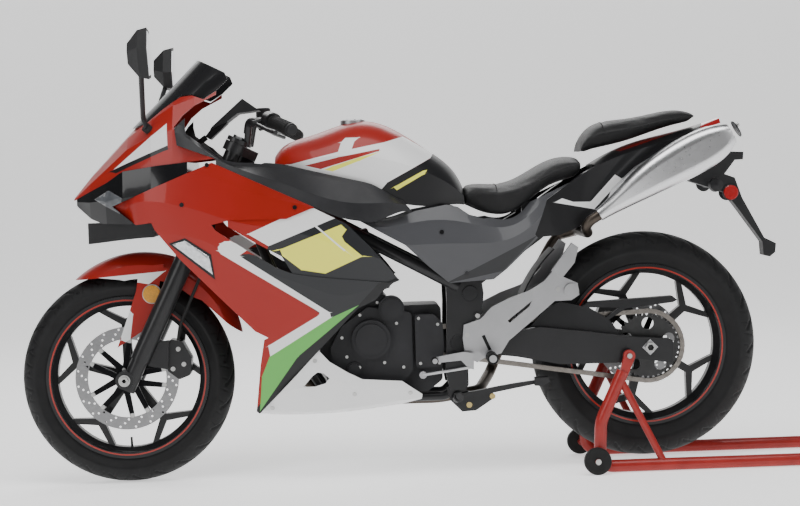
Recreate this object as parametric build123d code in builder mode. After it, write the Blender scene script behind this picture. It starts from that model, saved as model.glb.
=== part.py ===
"""Sport bike on a rear paddock stand, as separate pieces.

Frame: +X forward, +Y to the rider's left, +Z up, floor at Z = 0, millimetres.
X = 0 is midway between the front tyre's nose and the paddock stand's handle.
"""
from build123d import *
from math import acos, atan2, cos, degrees, hypot, pi, radians, sin, tan
import os

os.makedirs("parts", exist_ok=True)

# ---------------------------------------------------------------- driving dimensions
RUNNING_GAP = 0.3          # air between separate curved pieces

WHEELBASE = 1438.0
FRONT_AXLE_X = 858.0
REAR_AXLE_X = FRONT_AXLE_X - WHEELBASE
STAND_LIFT = 23.0          # the paddock stand holds the rear tyre this far off the floor

BEAD_RADIUS = 216.0        # 17 inch rims
FRONT_TYRE_WIDTH = 110.0
FRONT_TYRE_RADIUS = 293.0
REAR_TYRE_WIDTH = 140.0
REAR_TYRE_RADIUS = 314.0
TYRE_WALL = 9.0
RIM_LIP = 9.0
BEAD_SHARE = 0.74          # bead seat's share of the tyre's width
FRONT_AXLE_Z = FRONT_TYRE_RADIUS
REAR_AXLE_Z = REAR_TYRE_RADIUS + STAND_LIFT

RAKE = 26.0                # degrees of the steering axis from the vertical
FORK_OFFSET = 32.0         # fork legs ahead of the steering axis
AXLE_LEAD = 14.0           # front axle ahead of the fork legs' centre lines
FORK_HALF_SPACING = 97.0
FORK_OUTER_RADIUS = 27.0
FORK_TUBE_RADIUS = 20.5
AXLE_RADIUS = 9.0

DISC_RADIUS = 142.0
DISC_THICKNESS = 5.0
DISC_Y = 56.0
REAR_DISC_RADIUS = 118.0
REAR_DISC_Y = -78.0

CHAIN_PITCH = 15.875
REAR_TEETH = 38
FRONT_TEETH = 14
CHAIN_Y = 84.0
SPROCKET_THICKNESS = 7.0
ROLLER_RADIUS = 5.0
ENGINE_OUTPUT = (15.0, 372.0)

SWINGARM_PIVOT = (-57.0, 378.0)
SWINGARM_Y = 101.0         # inner face of each arm
SWINGARM_THICKNESS = 27.0

PANEL_WALL = 3.5
GLASS_WALL = 3.0

STAND_TUBE_RADIUS = 17.0
STAND_HALF_WIDTH = 152.0
STAND_HANDLE_X = -1134.0
STAND_ROLLER_RADIUS = 37.0
STAND_ROLLER_X = -420.0
SPOOL = (-518.0, 318.0)


# ---------------------------------------------------------------- shared constructions
def side_plane(y):
    """Upright plane at distance y to the left; its local x and y are world X and Z."""
    return Plane.XZ.offset(-y)


def prism(outline, y_low, y_high):
    """Solid with a straight-sided side-view outline, between two distances to the left."""
    with BuildPart() as block:
        with BuildSketch(side_plane(y_high)):
            with BuildLine():
                Polyline(*outline, close=True)
            make_face()
        extrude(amount=y_high - y_low)
    return block.part


def inset_line(line, wall):
    """The same (y, z) line moved inward by the wall, square to its own run."""
    moved = []
    for i, (y, z) in enumerate(line):
        y0, z0 = line[max(i - 1, 0)]
        y1, z1 = line[min(i + 1, len(line) - 1)]
        run = hypot(y1 - y0, z1 - z0)
        moved.append((max(y + (z1 - z0) / run * wall, 0), z - (y1 - y0) / run * wall))
    return moved


def skin(stations, wall, depth=0.0, ruled=False):
    """Thin left-hand panel lofted along X; each station is x and its (y, z) points, top first."""
    with BuildPart() as panel:
        for x, *line in stations:
            outer = inset_line(line, depth)
            inner = inset_line(line, depth + wall)
            with BuildSketch(Plane.YZ.offset(x)):
                with BuildLine():
                    Polyline(*outer, *reversed(inner), close=True)
                make_face()
        loft(ruled=ruled)
    return panel.part


def body(stations):
    """Closed body lofted along X; a station is x, low half width, low z, half width, side z, top z."""
    with BuildPart() as solid:
        for x, low_half, low_z, half, side_z, top_z in stations:
            with BuildSketch(Plane.YZ.offset(x)):
                with BuildLine():
                    Polyline((-half, side_z), (-low_half, low_z), (low_half, low_z), (half, side_z))
                    ThreePointArc((half, side_z), (0, top_z), (-half, side_z))
                make_face()
        loft()
    return solid.part


def tube(points, radius, bends, bore=0.0):
    """Round tube along straight runs joined by tangent arcs."""
    with BuildPart() as pipe:
        with BuildLine() as route:
            if len(points) > 2:
                FilletPolyline(*points, radius=bends)
            else:
                Line(*points)
        start = Plane(origin=route.wire() @ 0, z_dir=route.wire() % 0)
        with BuildSketch(start):
            Circle(radius)
            if bore:
                Circle(bore, mode=Mode.SUBTRACT)
        sweep()
    return pipe.part


def rod(start, end, radius):
    """Plain round bar between two points."""
    axis = Vector(*end) - Vector(*start)
    with BuildPart() as bar:
        with BuildSketch(Plane(origin=start, z_dir=axis)):
            Circle(radius)
        extrude(amount=axis.length)
    return bar.part


def cross_cylinder(x, z, y_low, y_high, radius, bore=0.0):
    """Cylinder lying across the bike."""
    with BuildPart() as drum:
        with BuildSketch(side_plane(y_high)):
            with Locations((x, z)):
                Circle(radius)
                if bore:
                    Circle(bore, mode=Mode.SUBTRACT)
        extrude(amount=y_high - y_low)
    return drum.part


def right_hand(piece):
    """Mirror image of a left-hand piece."""
    return mirror(piece, about=Plane.XZ)


def save(piece, name):
    """Label one finished piece and write its STEP file."""
    piece.label = name
    export_step(piece, f"parts/{name}.step")


def wheel_plane(x, z):
    """Plane through a wheel's axle: local x is world Y, local y is up."""
    return Plane(origin=(x, 0, z), x_dir=(0, 1, 0), z_dir=(1, 0, 0))


# ---------------------------------------------------------------- wheels
def make_tyre(x, z, width, radius):
    """Open-bellied carcass with a round crown, seated on the rim's bead shelves."""
    half = width / 2
    bead_half = half * BEAD_SHARE
    lip_top = BEAD_RADIUS + RIM_LIP + 2
    widest = BEAD_RADIUS + (radius - BEAD_RADIUS) * 0.46
    with BuildPart() as tyre:
        with BuildSketch(wheel_plane(x, z)):
            with BuildLine():
                Line((-bead_half, BEAD_RADIUS), (-bead_half, lip_top))
                Line((-bead_half, lip_top), (-half, widest))
                ThreePointArc((-half, widest), (0, radius), (half, widest))
                Line((half, widest), (bead_half, lip_top))
                Line((bead_half, lip_top), (bead_half, BEAD_RADIUS))
                Line((bead_half, BEAD_RADIUS), (bead_half - TYRE_WALL, BEAD_RADIUS))
                Line((bead_half - TYRE_WALL, BEAD_RADIUS), (half - TYRE_WALL, widest))
                ThreePointArc((half - TYRE_WALL, widest), (0, radius - TYRE_WALL),
                              (TYRE_WALL - half, widest))
                Line((TYRE_WALL - half, widest), (TYRE_WALL - bead_half, BEAD_RADIUS))
                Line((TYRE_WALL - bead_half, BEAD_RADIUS), (-bead_half, BEAD_RADIUS))
            make_face()
        revolve(axis=Axis((x, 0, z), (0, 1, 0)))
    return tyre.part


def tapered_bar(start, end, start_half, end_half):
    """Corner points of a flat bar that tapers from one point to another."""
    run = hypot(end[0] - start[0], end[1] - start[1])
    nx = -(end[1] - start[1]) / run
    ny = (end[0] - start[0]) / run
    return [(start[0] + nx * start_half, start[1] + ny * start_half),
            (end[0] + nx * end_half, end[1] + ny * end_half),
            (end[0] - nx * end_half, end[1] - ny * end_half),
            (start[0] - nx * start_half, start[1] - ny * start_half)]


def polar(radius, angle):
    """Point at a radius and an angle in degrees."""
    return (radius * cos(radians(angle)), radius * sin(radians(angle)))


def make_rim(x, z, width, first_arm, hub_low, hub_high, hub_radius):
    """Cast wheel: drop-centre barrel, five arms that fork into pairs, and a bored hub."""
    half = width / 2 * BEAD_SHARE + RUNNING_GAP + 4
    lip = BEAD_RADIUS + RIM_LIP
    shelf = BEAD_RADIUS - RUNNING_GAP
    barrel_wall = 5.0
    well = BEAD_RADIUS - 14.0
    fork_radius = 150.0
    fork_spread = 19.0
    arm_half_width = 14.0
    branch_half_width = 7.0
    arm_half_depth = 13.0
    centre = Plane(origin=(x, 0, z), x_dir=(1, 0, 0), z_dir=(0, -1, 0))
    with BuildPart() as rim:
        with BuildSketch(wheel_plane(x, z)):
            with BuildLine():
                Polyline((-half, lip), (-half + 4, lip), (-half + 4, shelf), (-half + 18, shelf),
                         (-14, well), (14, well), (half - 18, shelf), (half - 4, shelf),
                         (half - 4, lip), (half, lip), (half, shelf - barrel_wall),
                         (half - 18, shelf - barrel_wall), (14, well - barrel_wall),
                         (-14, well - barrel_wall), (-half + 18, shelf - barrel_wall),
                         (-half, shelf - barrel_wall), close=True)
            make_face()
        revolve(axis=Axis((x, 0, z), (0, 1, 0)))
        with BuildSketch(centre):
            for arm in range(5):
                angle = first_arm + 72 * arm
                fork = polar(fork_radius, angle)
                with BuildLine():
                    Polyline(*tapered_bar((0, 0), fork, arm_half_width, arm_half_width * 0.75),
                             close=True)
                make_face()
                for side in (-1, 1):
                    tip = polar(well - 2, angle + fork_spread * side)
                    with BuildLine():
                        Polyline(*tapered_bar(fork, tip, arm_half_width * 0.7, branch_half_width),
                                 close=True)
                    make_face()
        extrude(amount=arm_half_depth, both=True)
        with BuildSketch(Plane(origin=(x, hub_high, z), x_dir=(1, 0, 0), z_dir=(0, -1, 0))):
            Circle(hub_radius)
        extrude(amount=hub_high - hub_low)
        with BuildSketch(Plane(origin=(x, hub_high, z), x_dir=(1, 0, 0), z_dir=(0, -1, 0))):
            Circle(AXLE_RADIUS + RUNNING_GAP)
        extrude(amount=hub_high - hub_low, mode=Mode.SUBTRACT)
    return rim.part


def make_disc(x, y, z, radius, hub_hole):
    """Drilled brake disc on a star-shaped carrier."""
    band = 34.0
    hole_radius = 3.2
    rows = ((0.18, 0.0), (0.5, 5.0), (0.82, 10.0))   # share of the band, turn in degrees
    groups = 20
    carrier_half = 9.0
    face = Plane(origin=(x, y + DISC_THICKNESS / 2, z), x_dir=(1, 0, 0), z_dir=(0, -1, 0))
    inner = radius - band
    with BuildPart() as disc:
        with BuildSketch(face):
            Circle(radius)
            Circle(inner, mode=Mode.SUBTRACT)
            for share, turn in rows:
                with PolarLocations(inner + band * share, groups, start_angle=turn):
                    Circle(hole_radius, mode=Mode.SUBTRACT)
            for arm in range(5):
                with BuildLine():
                    Polyline(*tapered_bar(polar(hub_hole + 1, 72 * arm), polar(inner + 4, 72 * arm + 24),
                                          carrier_half, carrier_half * 0.7), close=True)
                make_face()
                with BuildLine():
                    Polyline(*tapered_bar(polar(hub_hole + 1, 72 * arm), polar(inner + 4, 72 * arm - 24),
                                          carrier_half, carrier_half * 0.7), close=True)
                make_face()
            Circle(hub_hole + 14)
            Circle(hub_hole, mode=Mode.SUBTRACT)
        extrude(amount=DISC_THICKNESS)
    return disc.part


FRONT_HUB_RADIUS = 30.0
REAR_HUB_RADIUS = 36.0

save(make_tyre(FRONT_AXLE_X, FRONT_AXLE_Z, FRONT_TYRE_WIDTH, FRONT_TYRE_RADIUS), "front_tyre")
save(make_tyre(REAR_AXLE_X, REAR_AXLE_Z, REAR_TYRE_WIDTH, REAR_TYRE_RADIUS), "rear_tyre")
save(make_rim(FRONT_AXLE_X, FRONT_AXLE_Z, FRONT_TYRE_WIDTH, 16.0,
              FORK_OUTER_RADIUS + 5.0 - FORK_HALF_SPACING, DISC_Y - DISC_THICKNESS / 2 - RUNNING_GAP,
              FRONT_HUB_RADIUS), "front_rim")
save(make_rim(REAR_AXLE_X, REAR_AXLE_Z, REAR_TYRE_WIDTH, 68.0,
              REAR_DISC_Y + DISC_THICKNESS / 2 + RUNNING_GAP,
              CHAIN_Y - SPROCKET_THICKNESS / 2 - RUNNING_GAP, REAR_HUB_RADIUS), "rear_rim")
save(make_disc(FRONT_AXLE_X, DISC_Y, FRONT_AXLE_Z, DISC_RADIUS, AXLE_RADIUS + 9.0), "front_disc")
save(make_disc(REAR_AXLE_X, REAR_DISC_Y, REAR_AXLE_Z, REAR_DISC_RADIUS, AXLE_RADIUS + 9.0), "rear_disc")

# ---------------------------------------------------------------- chain drive
PITCH_RADIUS = CHAIN_PITCH / 2 / sin(pi / REAR_TEETH)
FRONT_PITCH_RADIUS = CHAIN_PITCH / 2 / sin(pi / FRONT_TEETH)
TOOTH_GAP = 1.2            # tooth tips stay this far inside the rollers' inner edges
TOOTH_TIP = PITCH_RADIUS - ROLLER_RADIUS - TOOTH_GAP
TOOTH_DEPTH = 6.0
LINK_HALF_HEIGHT = 6.6
LINK_HALF_WIDTH = 8.0
LINK_PLATE = 2.6
REAR_SPROCKET = (REAR_AXLE_X, REAR_AXLE_Z)

with BuildPart() as sprocket:
    rear_centre = Plane(origin=(REAR_AXLE_X, CHAIN_Y + SPROCKET_THICKNESS / 2, REAR_AXLE_Z),
                        x_dir=(1, 0, 0), z_dir=(0, -1, 0))
    with BuildSketch(rear_centre):
        Circle(TOOTH_TIP - TOOTH_DEPTH)
        with BuildLine():
            teeth = []
            for tooth in range(REAR_TEETH):
                step = 360 / REAR_TEETH
                teeth += [polar(TOOTH_TIP - TOOTH_DEPTH - 1, step * (tooth - 0.42)),
                          polar(TOOTH_TIP, step * (tooth - 0.16)),
                          polar(TOOTH_TIP, step * (tooth + 0.16)),
                          polar(TOOTH_TIP - TOOTH_DEPTH - 1, step * (tooth + 0.42))]
            Polyline(*teeth, close=True)
        make_face()
        with PolarLocations(62.0, 5, start_angle=20.0):
            Circle(17.0, mode=Mode.SUBTRACT)
        Circle(AXLE_RADIUS + 9.0, mode=Mode.SUBTRACT)
    extrude(amount=SPROCKET_THICKNESS)
save(sprocket.part, "rear_sprocket")

# The chain is one closed loop: two belts of link plates with rollers between them.
with BuildPart() as chain:
    dx = ENGINE_OUTPUT[0] - REAR_AXLE_X
    dz = ENGINE_OUTPUT[1] - REAR_AXLE_Z
    run_angle = degrees(atan2(dz, dx))
    spread_angle = degrees(acos((PITCH_RADIUS - FRONT_PITCH_RADIUS) / hypot(dx, dz)))

    for y_high in (CHAIN_Y + LINK_HALF_WIDTH, CHAIN_Y - LINK_HALF_WIDTH + LINK_PLATE):
        with BuildSketch(side_plane(y_high)):
            for offset, mode in ((LINK_HALF_HEIGHT, Mode.ADD), (-ROLLER_RADIUS, Mode.SUBTRACT)):
                ends = []
                for centre, pitch in ((REAR_SPROCKET, PITCH_RADIUS), (ENGINE_OUTPUT, FRONT_PITCH_RADIUS)):
                    for turn in (spread_angle, -spread_angle):
                        px, pz = polar(pitch + offset, run_angle + turn)
                        ends.append((centre[0] + px, centre[1] + pz))
                rear_up, rear_down, front_up, front_down = ends
                back = polar(PITCH_RADIUS + offset, run_angle + 180)
                nose = polar(FRONT_PITCH_RADIUS + offset, run_angle)
                with BuildLine():
                    Line(rear_up, front_up)
                    ThreePointArc(front_up, (ENGINE_OUTPUT[0] + nose[0], ENGINE_OUTPUT[1] + nose[1]),
                                  front_down)
                    Line(front_down, rear_down)
                    ThreePointArc(rear_down, (REAR_SPROCKET[0] + back[0], REAR_SPROCKET[1] + back[1]),
                                  rear_up)
                make_face(mode=mode)
        extrude(amount=LINK_PLATE)
    with BuildSketch(side_plane(CHAIN_Y + LINK_HALF_WIDTH - LINK_PLATE)):
        straight = hypot(dx, dz) * sin(radians(spread_angle))
        rollers = int(straight // (2 * CHAIN_PITCH))
        for turn in (spread_angle, -spread_angle):
            base = polar(PITCH_RADIUS, run_angle + turn)
            heading = run_angle + turn + (-90 if turn > 0 else 90)
            for k in range(rollers + 1):
                along = polar(2 * CHAIN_PITCH * k, heading)
                with Locations((REAR_SPROCKET[0] + base[0] + along[0],
                                REAR_SPROCKET[1] + base[1] + along[1])):
                    RegularPolygon(ROLLER_RADIUS, 6)
        wrapped = int((360 - 2 * spread_angle) // (720 / REAR_TEETH))
        for k in range(1, wrapped + 1):
            px, pz = polar(PITCH_RADIUS, run_angle + spread_angle + k * 720 / REAR_TEETH)
            with Locations((REAR_SPROCKET[0] + px, REAR_SPROCKET[1] + pz)):
                RegularPolygon(ROLLER_RADIUS, 6)
    extrude(amount=2 * (LINK_HALF_WIDTH - LINK_PLATE))
save(chain.part, "chain")

# ---------------------------------------------------------------- front fork and steering
def leg_point(height, offset=0.0, y=0.0):
    """Point at a height on a line parallel to the fork, offset ahead of the leg's centre line."""
    leg_foot_x = FRONT_AXLE_X - AXLE_LEAD / cos(radians(RAKE))
    x = leg_foot_x - (height - FRONT_AXLE_Z) * tan(radians(RAKE)) + offset / cos(radians(RAKE))
    return (x, y, height)


UPPER_CLAMP_Z = 905.0
LOWER_CLAMP_Z = 742.0
SLIDER_TOP_Z = 640.0
FORK_FOOT_Z = FRONT_AXLE_Z - 28.0
FORK_TOP_Z = UPPER_CLAMP_Z + 34.0
CLAMP_THICKNESS = 26.0
STEM_RADIUS = 16.0
FORK_DIRECTION = Vector(-sin(radians(RAKE)), 0, cos(radians(RAKE)))

for side, name in ((1, "fork_leg_left"), (-1, "fork_leg_right")):
    y = FORK_HALF_SPACING * side
    slider_foot = leg_point(FORK_FOOT_Z, 0, y)
    with BuildPart() as leg:
        with BuildSketch(Plane(origin=slider_foot, z_dir=FORK_DIRECTION)):
            Circle(FORK_OUTER_RADIUS - 4)
        extrude(amount=95)
        with BuildSketch(Plane(origin=leg_point(FORK_FOOT_Z + 80, 0, y), z_dir=FORK_DIRECTION)):
            Circle(FORK_OUTER_RADIUS)
        extrude(amount=(SLIDER_TOP_Z - FORK_FOOT_Z - 80) / cos(radians(RAKE)))
        with BuildSketch(Plane(origin=leg_point(SLIDER_TOP_Z - 1, 0, y), z_dir=FORK_DIRECTION)):
            Circle(FORK_TUBE_RADIUS)
        extrude(amount=(FORK_TOP_Z - SLIDER_TOP_Z + 1) / cos(radians(RAKE)))
        lug_face = side_plane(y + FORK_OUTER_RADIUS - 3)
        with BuildSketch(lug_face):
            with Locations((FRONT_AXLE_X, FRONT_AXLE_Z)):
                Circle(25)
        extrude(amount=2 * FORK_OUTER_RADIUS - 6)
        with BuildSketch(lug_face):
            with Locations((FRONT_AXLE_X, FRONT_AXLE_Z)):
                Circle(AXLE_RADIUS)
        extrude(amount=2 * FORK_OUTER_RADIUS - 6, mode=Mode.SUBTRACT)
    save(leg.part, name)

HUB_END = FORK_HALF_SPACING - FORK_OUTER_RADIUS - 5.0
LUG_INNER = FORK_HALF_SPACING - FORK_OUTER_RADIUS + 3.0
AXLE_HALF = FORK_HALF_SPACING + FORK_OUTER_RADIUS
SPACER_RADIUS = AXLE_RADIUS + 5.0
spans = (  # y low, y high, radius
    (-AXLE_HALF, AXLE_HALF, AXLE_RADIUS - 0.1),
    (-LUG_INNER, -HUB_END - RUNNING_GAP, SPACER_RADIUS),
    (DISC_Y - DISC_THICKNESS / 2, LUG_INNER, SPACER_RADIUS),
)
with BuildPart() as axle:
    for y_low, y_high, radius in spans:
        with BuildSketch(side_plane(y_high)):
            with Locations((FRONT_AXLE_X, FRONT_AXLE_Z)):
                Circle(radius)
        extrude(amount=y_high - y_low)
    with BuildSketch(side_plane(AXLE_HALF)):
        with Locations((FRONT_AXLE_X, FRONT_AXLE_Z)):
            Circle(AXLE_RADIUS - 3.5)
    extrude(amount=2 * AXLE_HALF, mode=Mode.SUBTRACT)
save(axle.part, "front_axle")

HEAD_TUBE_RADIUS = 29.0
with BuildPart() as clamps:
    for height in (UPPER_CLAMP_Z, LOWER_CLAMP_Z):
        plane = Plane(origin=leg_point(height), x_dir=(0, 1, 0), z_dir=FORK_DIRECTION)
        with BuildSketch(plane):
            with Locations((-FORK_HALF_SPACING, 0), (FORK_HALF_SPACING, 0)):
                Circle(FORK_TUBE_RADIUS + 10)
            with Locations((0, FORK_OFFSET)):
                Circle(HEAD_TUBE_RADIUS)
            make_hull()
            with Locations((-FORK_HALF_SPACING, 0), (FORK_HALF_SPACING, 0)):
                Circle(FORK_TUBE_RADIUS + 0.1, mode=Mode.SUBTRACT)
        extrude(amount=CLAMP_THICKNESS)
    stem_length = (UPPER_CLAMP_Z - LOWER_CLAMP_Z) / cos(radians(RAKE)) + CLAMP_THICKNESS
    with BuildSketch(Plane(origin=leg_point(LOWER_CLAMP_Z), x_dir=(0, 1, 0), z_dir=FORK_DIRECTION)):
        with Locations((0, FORK_OFFSET)):
            Circle(STEM_RADIUS)
    extrude(amount=stem_length)
    with BuildSketch(Plane(origin=leg_point(LOWER_CLAMP_Z), x_dir=(0, 1, 0), z_dir=FORK_DIRECTION)):
        with Locations((0, FORK_OFFSET)):
            Circle(STEM_RADIUS - 6)
    extrude(amount=stem_length, mode=Mode.SUBTRACT)
save(clamps.part, "triple_clamps")

BAR_RADIUS = 11.0
GRIP_RADIUS = 17.0
BAR_ROOT = leg_point(FORK_TOP_Z - 14, 0, FORK_HALF_SPACING)
BAR_KNEE = (496.0, 118.0, 986.0)
BAR_INNER = (430.0, 208.0, 983.0)
BAR_END = (376.0, 338.0, 956.0)
bar_run = Vector(*BAR_END) - Vector(*BAR_INNER)
grip_start = Vector(*BAR_INNER) + bar_run * 0.08
with BuildPart() as clip_on:
    with BuildSketch(Plane(origin=leg_point(UPPER_CLAMP_Z + 25, 0, FORK_HALF_SPACING),
                           z_dir=FORK_DIRECTION)):
        Circle(FORK_TUBE_RADIUS + 9)
        Circle(FORK_TUBE_RADIUS + 0.1, mode=Mode.SUBTRACT)
    extrude(amount=12)
riser_foot = (Vector(*leg_point(UPPER_CLAMP_Z + 25, 0, FORK_HALF_SPACING)) + FORK_DIRECTION * 6
              - Vector(cos(radians(RAKE)), 0, sin(radians(RAKE))) * 25)
riser = tube([tuple(riser_foot), BAR_KNEE, BAR_INNER, BAR_END], BAR_RADIUS, [18, 30])
housing = rod(tuple(Vector(*BAR_INNER) - bar_run * 0.16), tuple(grip_start), 24)
perch = rod(tuple(Vector(*BAR_INNER) - bar_run * 0.2), (BAR_INNER[0] + 52, BAR_INNER[1] + 4, BAR_INNER[2] - 6), 9)
lever = tube([(BAR_INNER[0] + 42, BAR_INNER[1] + 2, BAR_INNER[2] - 6), (BAR_END[0] + 66, BAR_END[1] - 60, BAR_END[2] + 4),
              (BAR_END[0] + 40, BAR_END[1] - 4, BAR_END[2] - 6)], 5.5, [60])
left_fork_tube = rod(leg_point(UPPER_CLAMP_Z, 0, FORK_HALF_SPACING), leg_point(FORK_TOP_Z + 20, 0, FORK_HALF_SPACING),
                     FORK_TUBE_RADIUS + 0.1)
left_bar = clip_on.part + riser + housing + perch + lever - left_fork_tube
with BuildPart() as handlebars:
    add(left_bar)
    mirror(left_bar, about=Plane.XZ)
save(handlebars.part, "handlebars")

bar_plane = Plane(origin=tuple(grip_start), z_dir=bar_run)
with BuildPart() as left_grip:
    with BuildSketch(bar_plane):
        Circle(GRIP_RADIUS)
        Circle(BAR_RADIUS + 0.1, mode=Mode.SUBTRACT)
    extrude(amount=bar_run.length * 0.88)
with BuildPart() as grips:
    add(left_grip.part)
    mirror(left_grip.part, about=Plane.XZ)
save(grips.part, "grips")

FENDER_CENTRE = (812.0, 361.0)
FENDER_RADIUS = 277.0
FENDER_HALF = 67.5
with BuildPart() as fender_skin:
    with BuildSketch(Plane(origin=(FENDER_CENTRE[0], 0, FENDER_CENTRE[1]), x_dir=(0, 1, 0),
                           z_dir=(1, 0, 0))):
        with BuildLine():
            Line((-FENDER_HALF, 206), (-FENDER_HALF, 244))
            ThreePointArc((-FENDER_HALF, 244), (0, FENDER_RADIUS), (FENDER_HALF, 244))
            Line((FENDER_HALF, 244), (FENDER_HALF, 206))
            Line((FENDER_HALF, 206), (FENDER_HALF - PANEL_WALL, 206))
            Line((FENDER_HALF - PANEL_WALL, 206), (FENDER_HALF - PANEL_WALL, 242))
            ThreePointArc((FENDER_HALF - PANEL_WALL, 242), (0, FENDER_RADIUS - PANEL_WALL),
                          (PANEL_WALL - FENDER_HALF, 242))
            Line((PANEL_WALL - FENDER_HALF, 242), (PANEL_WALL - FENDER_HALF, 206))
            Line((PANEL_WALL - FENDER_HALF, 206), (-FENDER_HALF, 206))
        make_face()
    revolve(axis=Axis((FENDER_CENTRE[0], 0, FENDER_CENTRE[1]), (0, 1, 0)))
fender_outline = [(1002, 566), (923, 572), (869, 566), (812, 552), (736, 540), (645, 502), (570, 430),
                  (536, 404), (500, 400), (500, 700), (1002, 700)]
stalk_outline = [(745, 605), (812, 600), (824, 532), (880, 379), (782, 440), (772, 500)]
fender = fender_skin.part & prism(fender_outline, -80, 80)
stalk = prism(stalk_outline, FENDER_HALF - PANEL_WALL, FENDER_HALF)
boss_x = leg_point(500)[0]
stay = prism([(772, 520), (790, 520), (boss_x - 8, 470), (boss_x - 8, 505)], FENDER_HALF - PANEL_WALL, FENDER_HALF)
boss = cross_cylinder(boss_x, 490, FENDER_HALF - 1, FORK_HALF_SPACING - FORK_OUTER_RADIUS - 0.2, 9)
for piece in (stalk, stay, boss):
    fender = fender + piece + right_hand(piece)
save(fender, "front_fender")

with BuildPart() as caliper:
    with BuildSketch(side_plane(DISC_Y + 34)):
        with BuildLine():
            Polyline((735, 400), (700, 392), (676, 345), (680, 300), (712, 288), (742, 312), (752, 350),
                     close=True)
        make_face()
        fillet(vertices(), 9)
    extrude(amount=60)
    with BuildSketch(side_plane(DISC_Y + DISC_THICKNESS / 2 + 5.5)):
        with Locations((FRONT_AXLE_X, FRONT_AXLE_Z)):
            Circle(DISC_RADIUS + 6)
    extrude(amount=DISC_THICKNESS + 11, mode=Mode.SUBTRACT)
    with BuildSketch(side_plane(FORK_HALF_SPACING + 4)):
        with BuildLine():
            Polyline((735, 398), (778, 392), (800, 330), (740, 318), close=True)
        make_face()
    extrude(amount=12)
caliper_part = caliper.part - prism([(leg_point(420)[0] - 30.4, 420), (leg_point(250)[0] - 30.4, 250),
                                     (leg_point(250)[0] + 60, 250), (leg_point(420)[0] + 60, 420)], 60, 140)
save(caliper_part, "front_caliper")

hose_points = [(712, DISC_Y + 28, 395.6), (704, 88, 440), (676, 94, 500), (650, 98, 556), (624, 95, 620),
               (606, 92, 680), (600.3, 88, 728.5)]
save(tube(hose_points, 4.5, [60, 120, 150, 150, 60]), "brake_hose")

# ---------------------------------------------------------------- fairing
# Each station: x, then (y, z) where it crosses the panel's feature lines, top first.
SIDE_STATIONS = (
    (900, (96, 842), (120, 806), (124, 770), (112, 690), (104, 640), (98, 560)),
    (800, (160, 880), (172, 830), (176, 778), (166, 700), (156, 640), (146, 560)),
    (700, (192, 905), (205, 850), (212, 770), (206, 690), (196, 620), (180, 520)),
    (600, (206, 900), (218, 840), (226, 740), (222, 660), (204, 560), (172, 420)),
    (500, (208, 850), (220, 800), (230, 710), (222, 600), (182, 420), (112, 180)),
    (400, (206, 810), (218, 770), (226, 690), (214, 560), (178, 400), (126, 260)),
    (300, (202, 765), (212, 740), (220, 660), (206, 520), (178, 420), (150, 340)),
    (200, (196, 730), (203, 700), (208, 620), (194, 520), (172, 460), (158, 420)),
    (90, (186, 700), (190, 670), (190, 600), (180, 540), (168, 500), (160, 470)),
)
FAIRING_OUTLINE = [(870, 768), (746, 818), (594, 878), (468, 818), (284, 731), (240, 705), (177, 641),
                   (124, 578), (102, 546), (133, 534), (169, 494), (217, 474), (318, 370), (404, 280),
                   (494, 189), (502, 196), (485, 328), (472, 397), (460, 402), (495, 421), (692, 626),
                   (754, 703), (762, 722), (807, 717)]
WINDOW_OUTLINE = [(600, 712), (549, 724), (400, 722), (326, 750), (230, 760), (80, 560), (131, 541),
                  (303, 561), (386, 574), (431, 592), (504, 639), (588, 696)]
MID_PANEL_OUTLINE = [(556, 706), (556, 736), (400, 736), (326, 748), (288, 728), (240, 703), (180, 641),
                     (127, 578), (106, 550), (133, 528), (190, 534), (300, 552), (384, 566), (416, 622),
                     (480, 658)]
fairing_left = (skin(SIDE_STATIONS, PANEL_WALL) & prism(FAIRING_OUTLINE, 40, 300)) - prism(
    WINDOW_OUTLINE, 40, 300)
save(fairing_left, "fairing_left")
save(right_hand(fairing_left), "fairing_right")
mid_left = skin(SIDE_STATIONS, PANEL_WALL, PANEL_WALL + RUNNING_GAP) & prism(MID_PANEL_OUTLINE, 40, 300)
save(mid_left, "mid_panel_left")
save(right_hand(mid_left), "mid_panel_right")

NOSE_STATIONS = (
    (992, (0, 792), (4, 790), (7, 788), (10, 782)),
    (940, (0, 853), (30, 846), (52, 830), (64, 800)),
    (880, (0, 915), (50, 903), (88, 878), (110, 822)),
    (830, (0, 967), (62, 954), (110, 920), (142, 852)),
    (760, (60, 1026), (100, 1000), (146, 955), (168, 855)),
    (700, (100, 1050), (118, 1036), (158, 970), (182, 860)),
    (640, (112, 1075), (124, 1055), (168, 975), (194, 860)),
    (580, (108, 1088), (122, 1066), (176, 975), (206, 860)),
)
NOSE_OUTLINE = [(996, 784), (889, 832), (840, 862), (747, 874), (588, 888.6), (687.4, 926.6), (695.5, 977),
                (672, 1008), (640, 1034), (582, 1062), (582, 1072), (616, 1050), (648, 1062), (680, 1059),
                (730, 1027), (779, 988), (826, 980), (830, 1000), (1010, 800)]
nose_half = skin(NOSE_STATIONS, PANEL_WALL, ruled=True) & prism(NOSE_OUTLINE, -1, 300)
save(nose_half + right_hand(nose_half), "nose_cowl")

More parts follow.
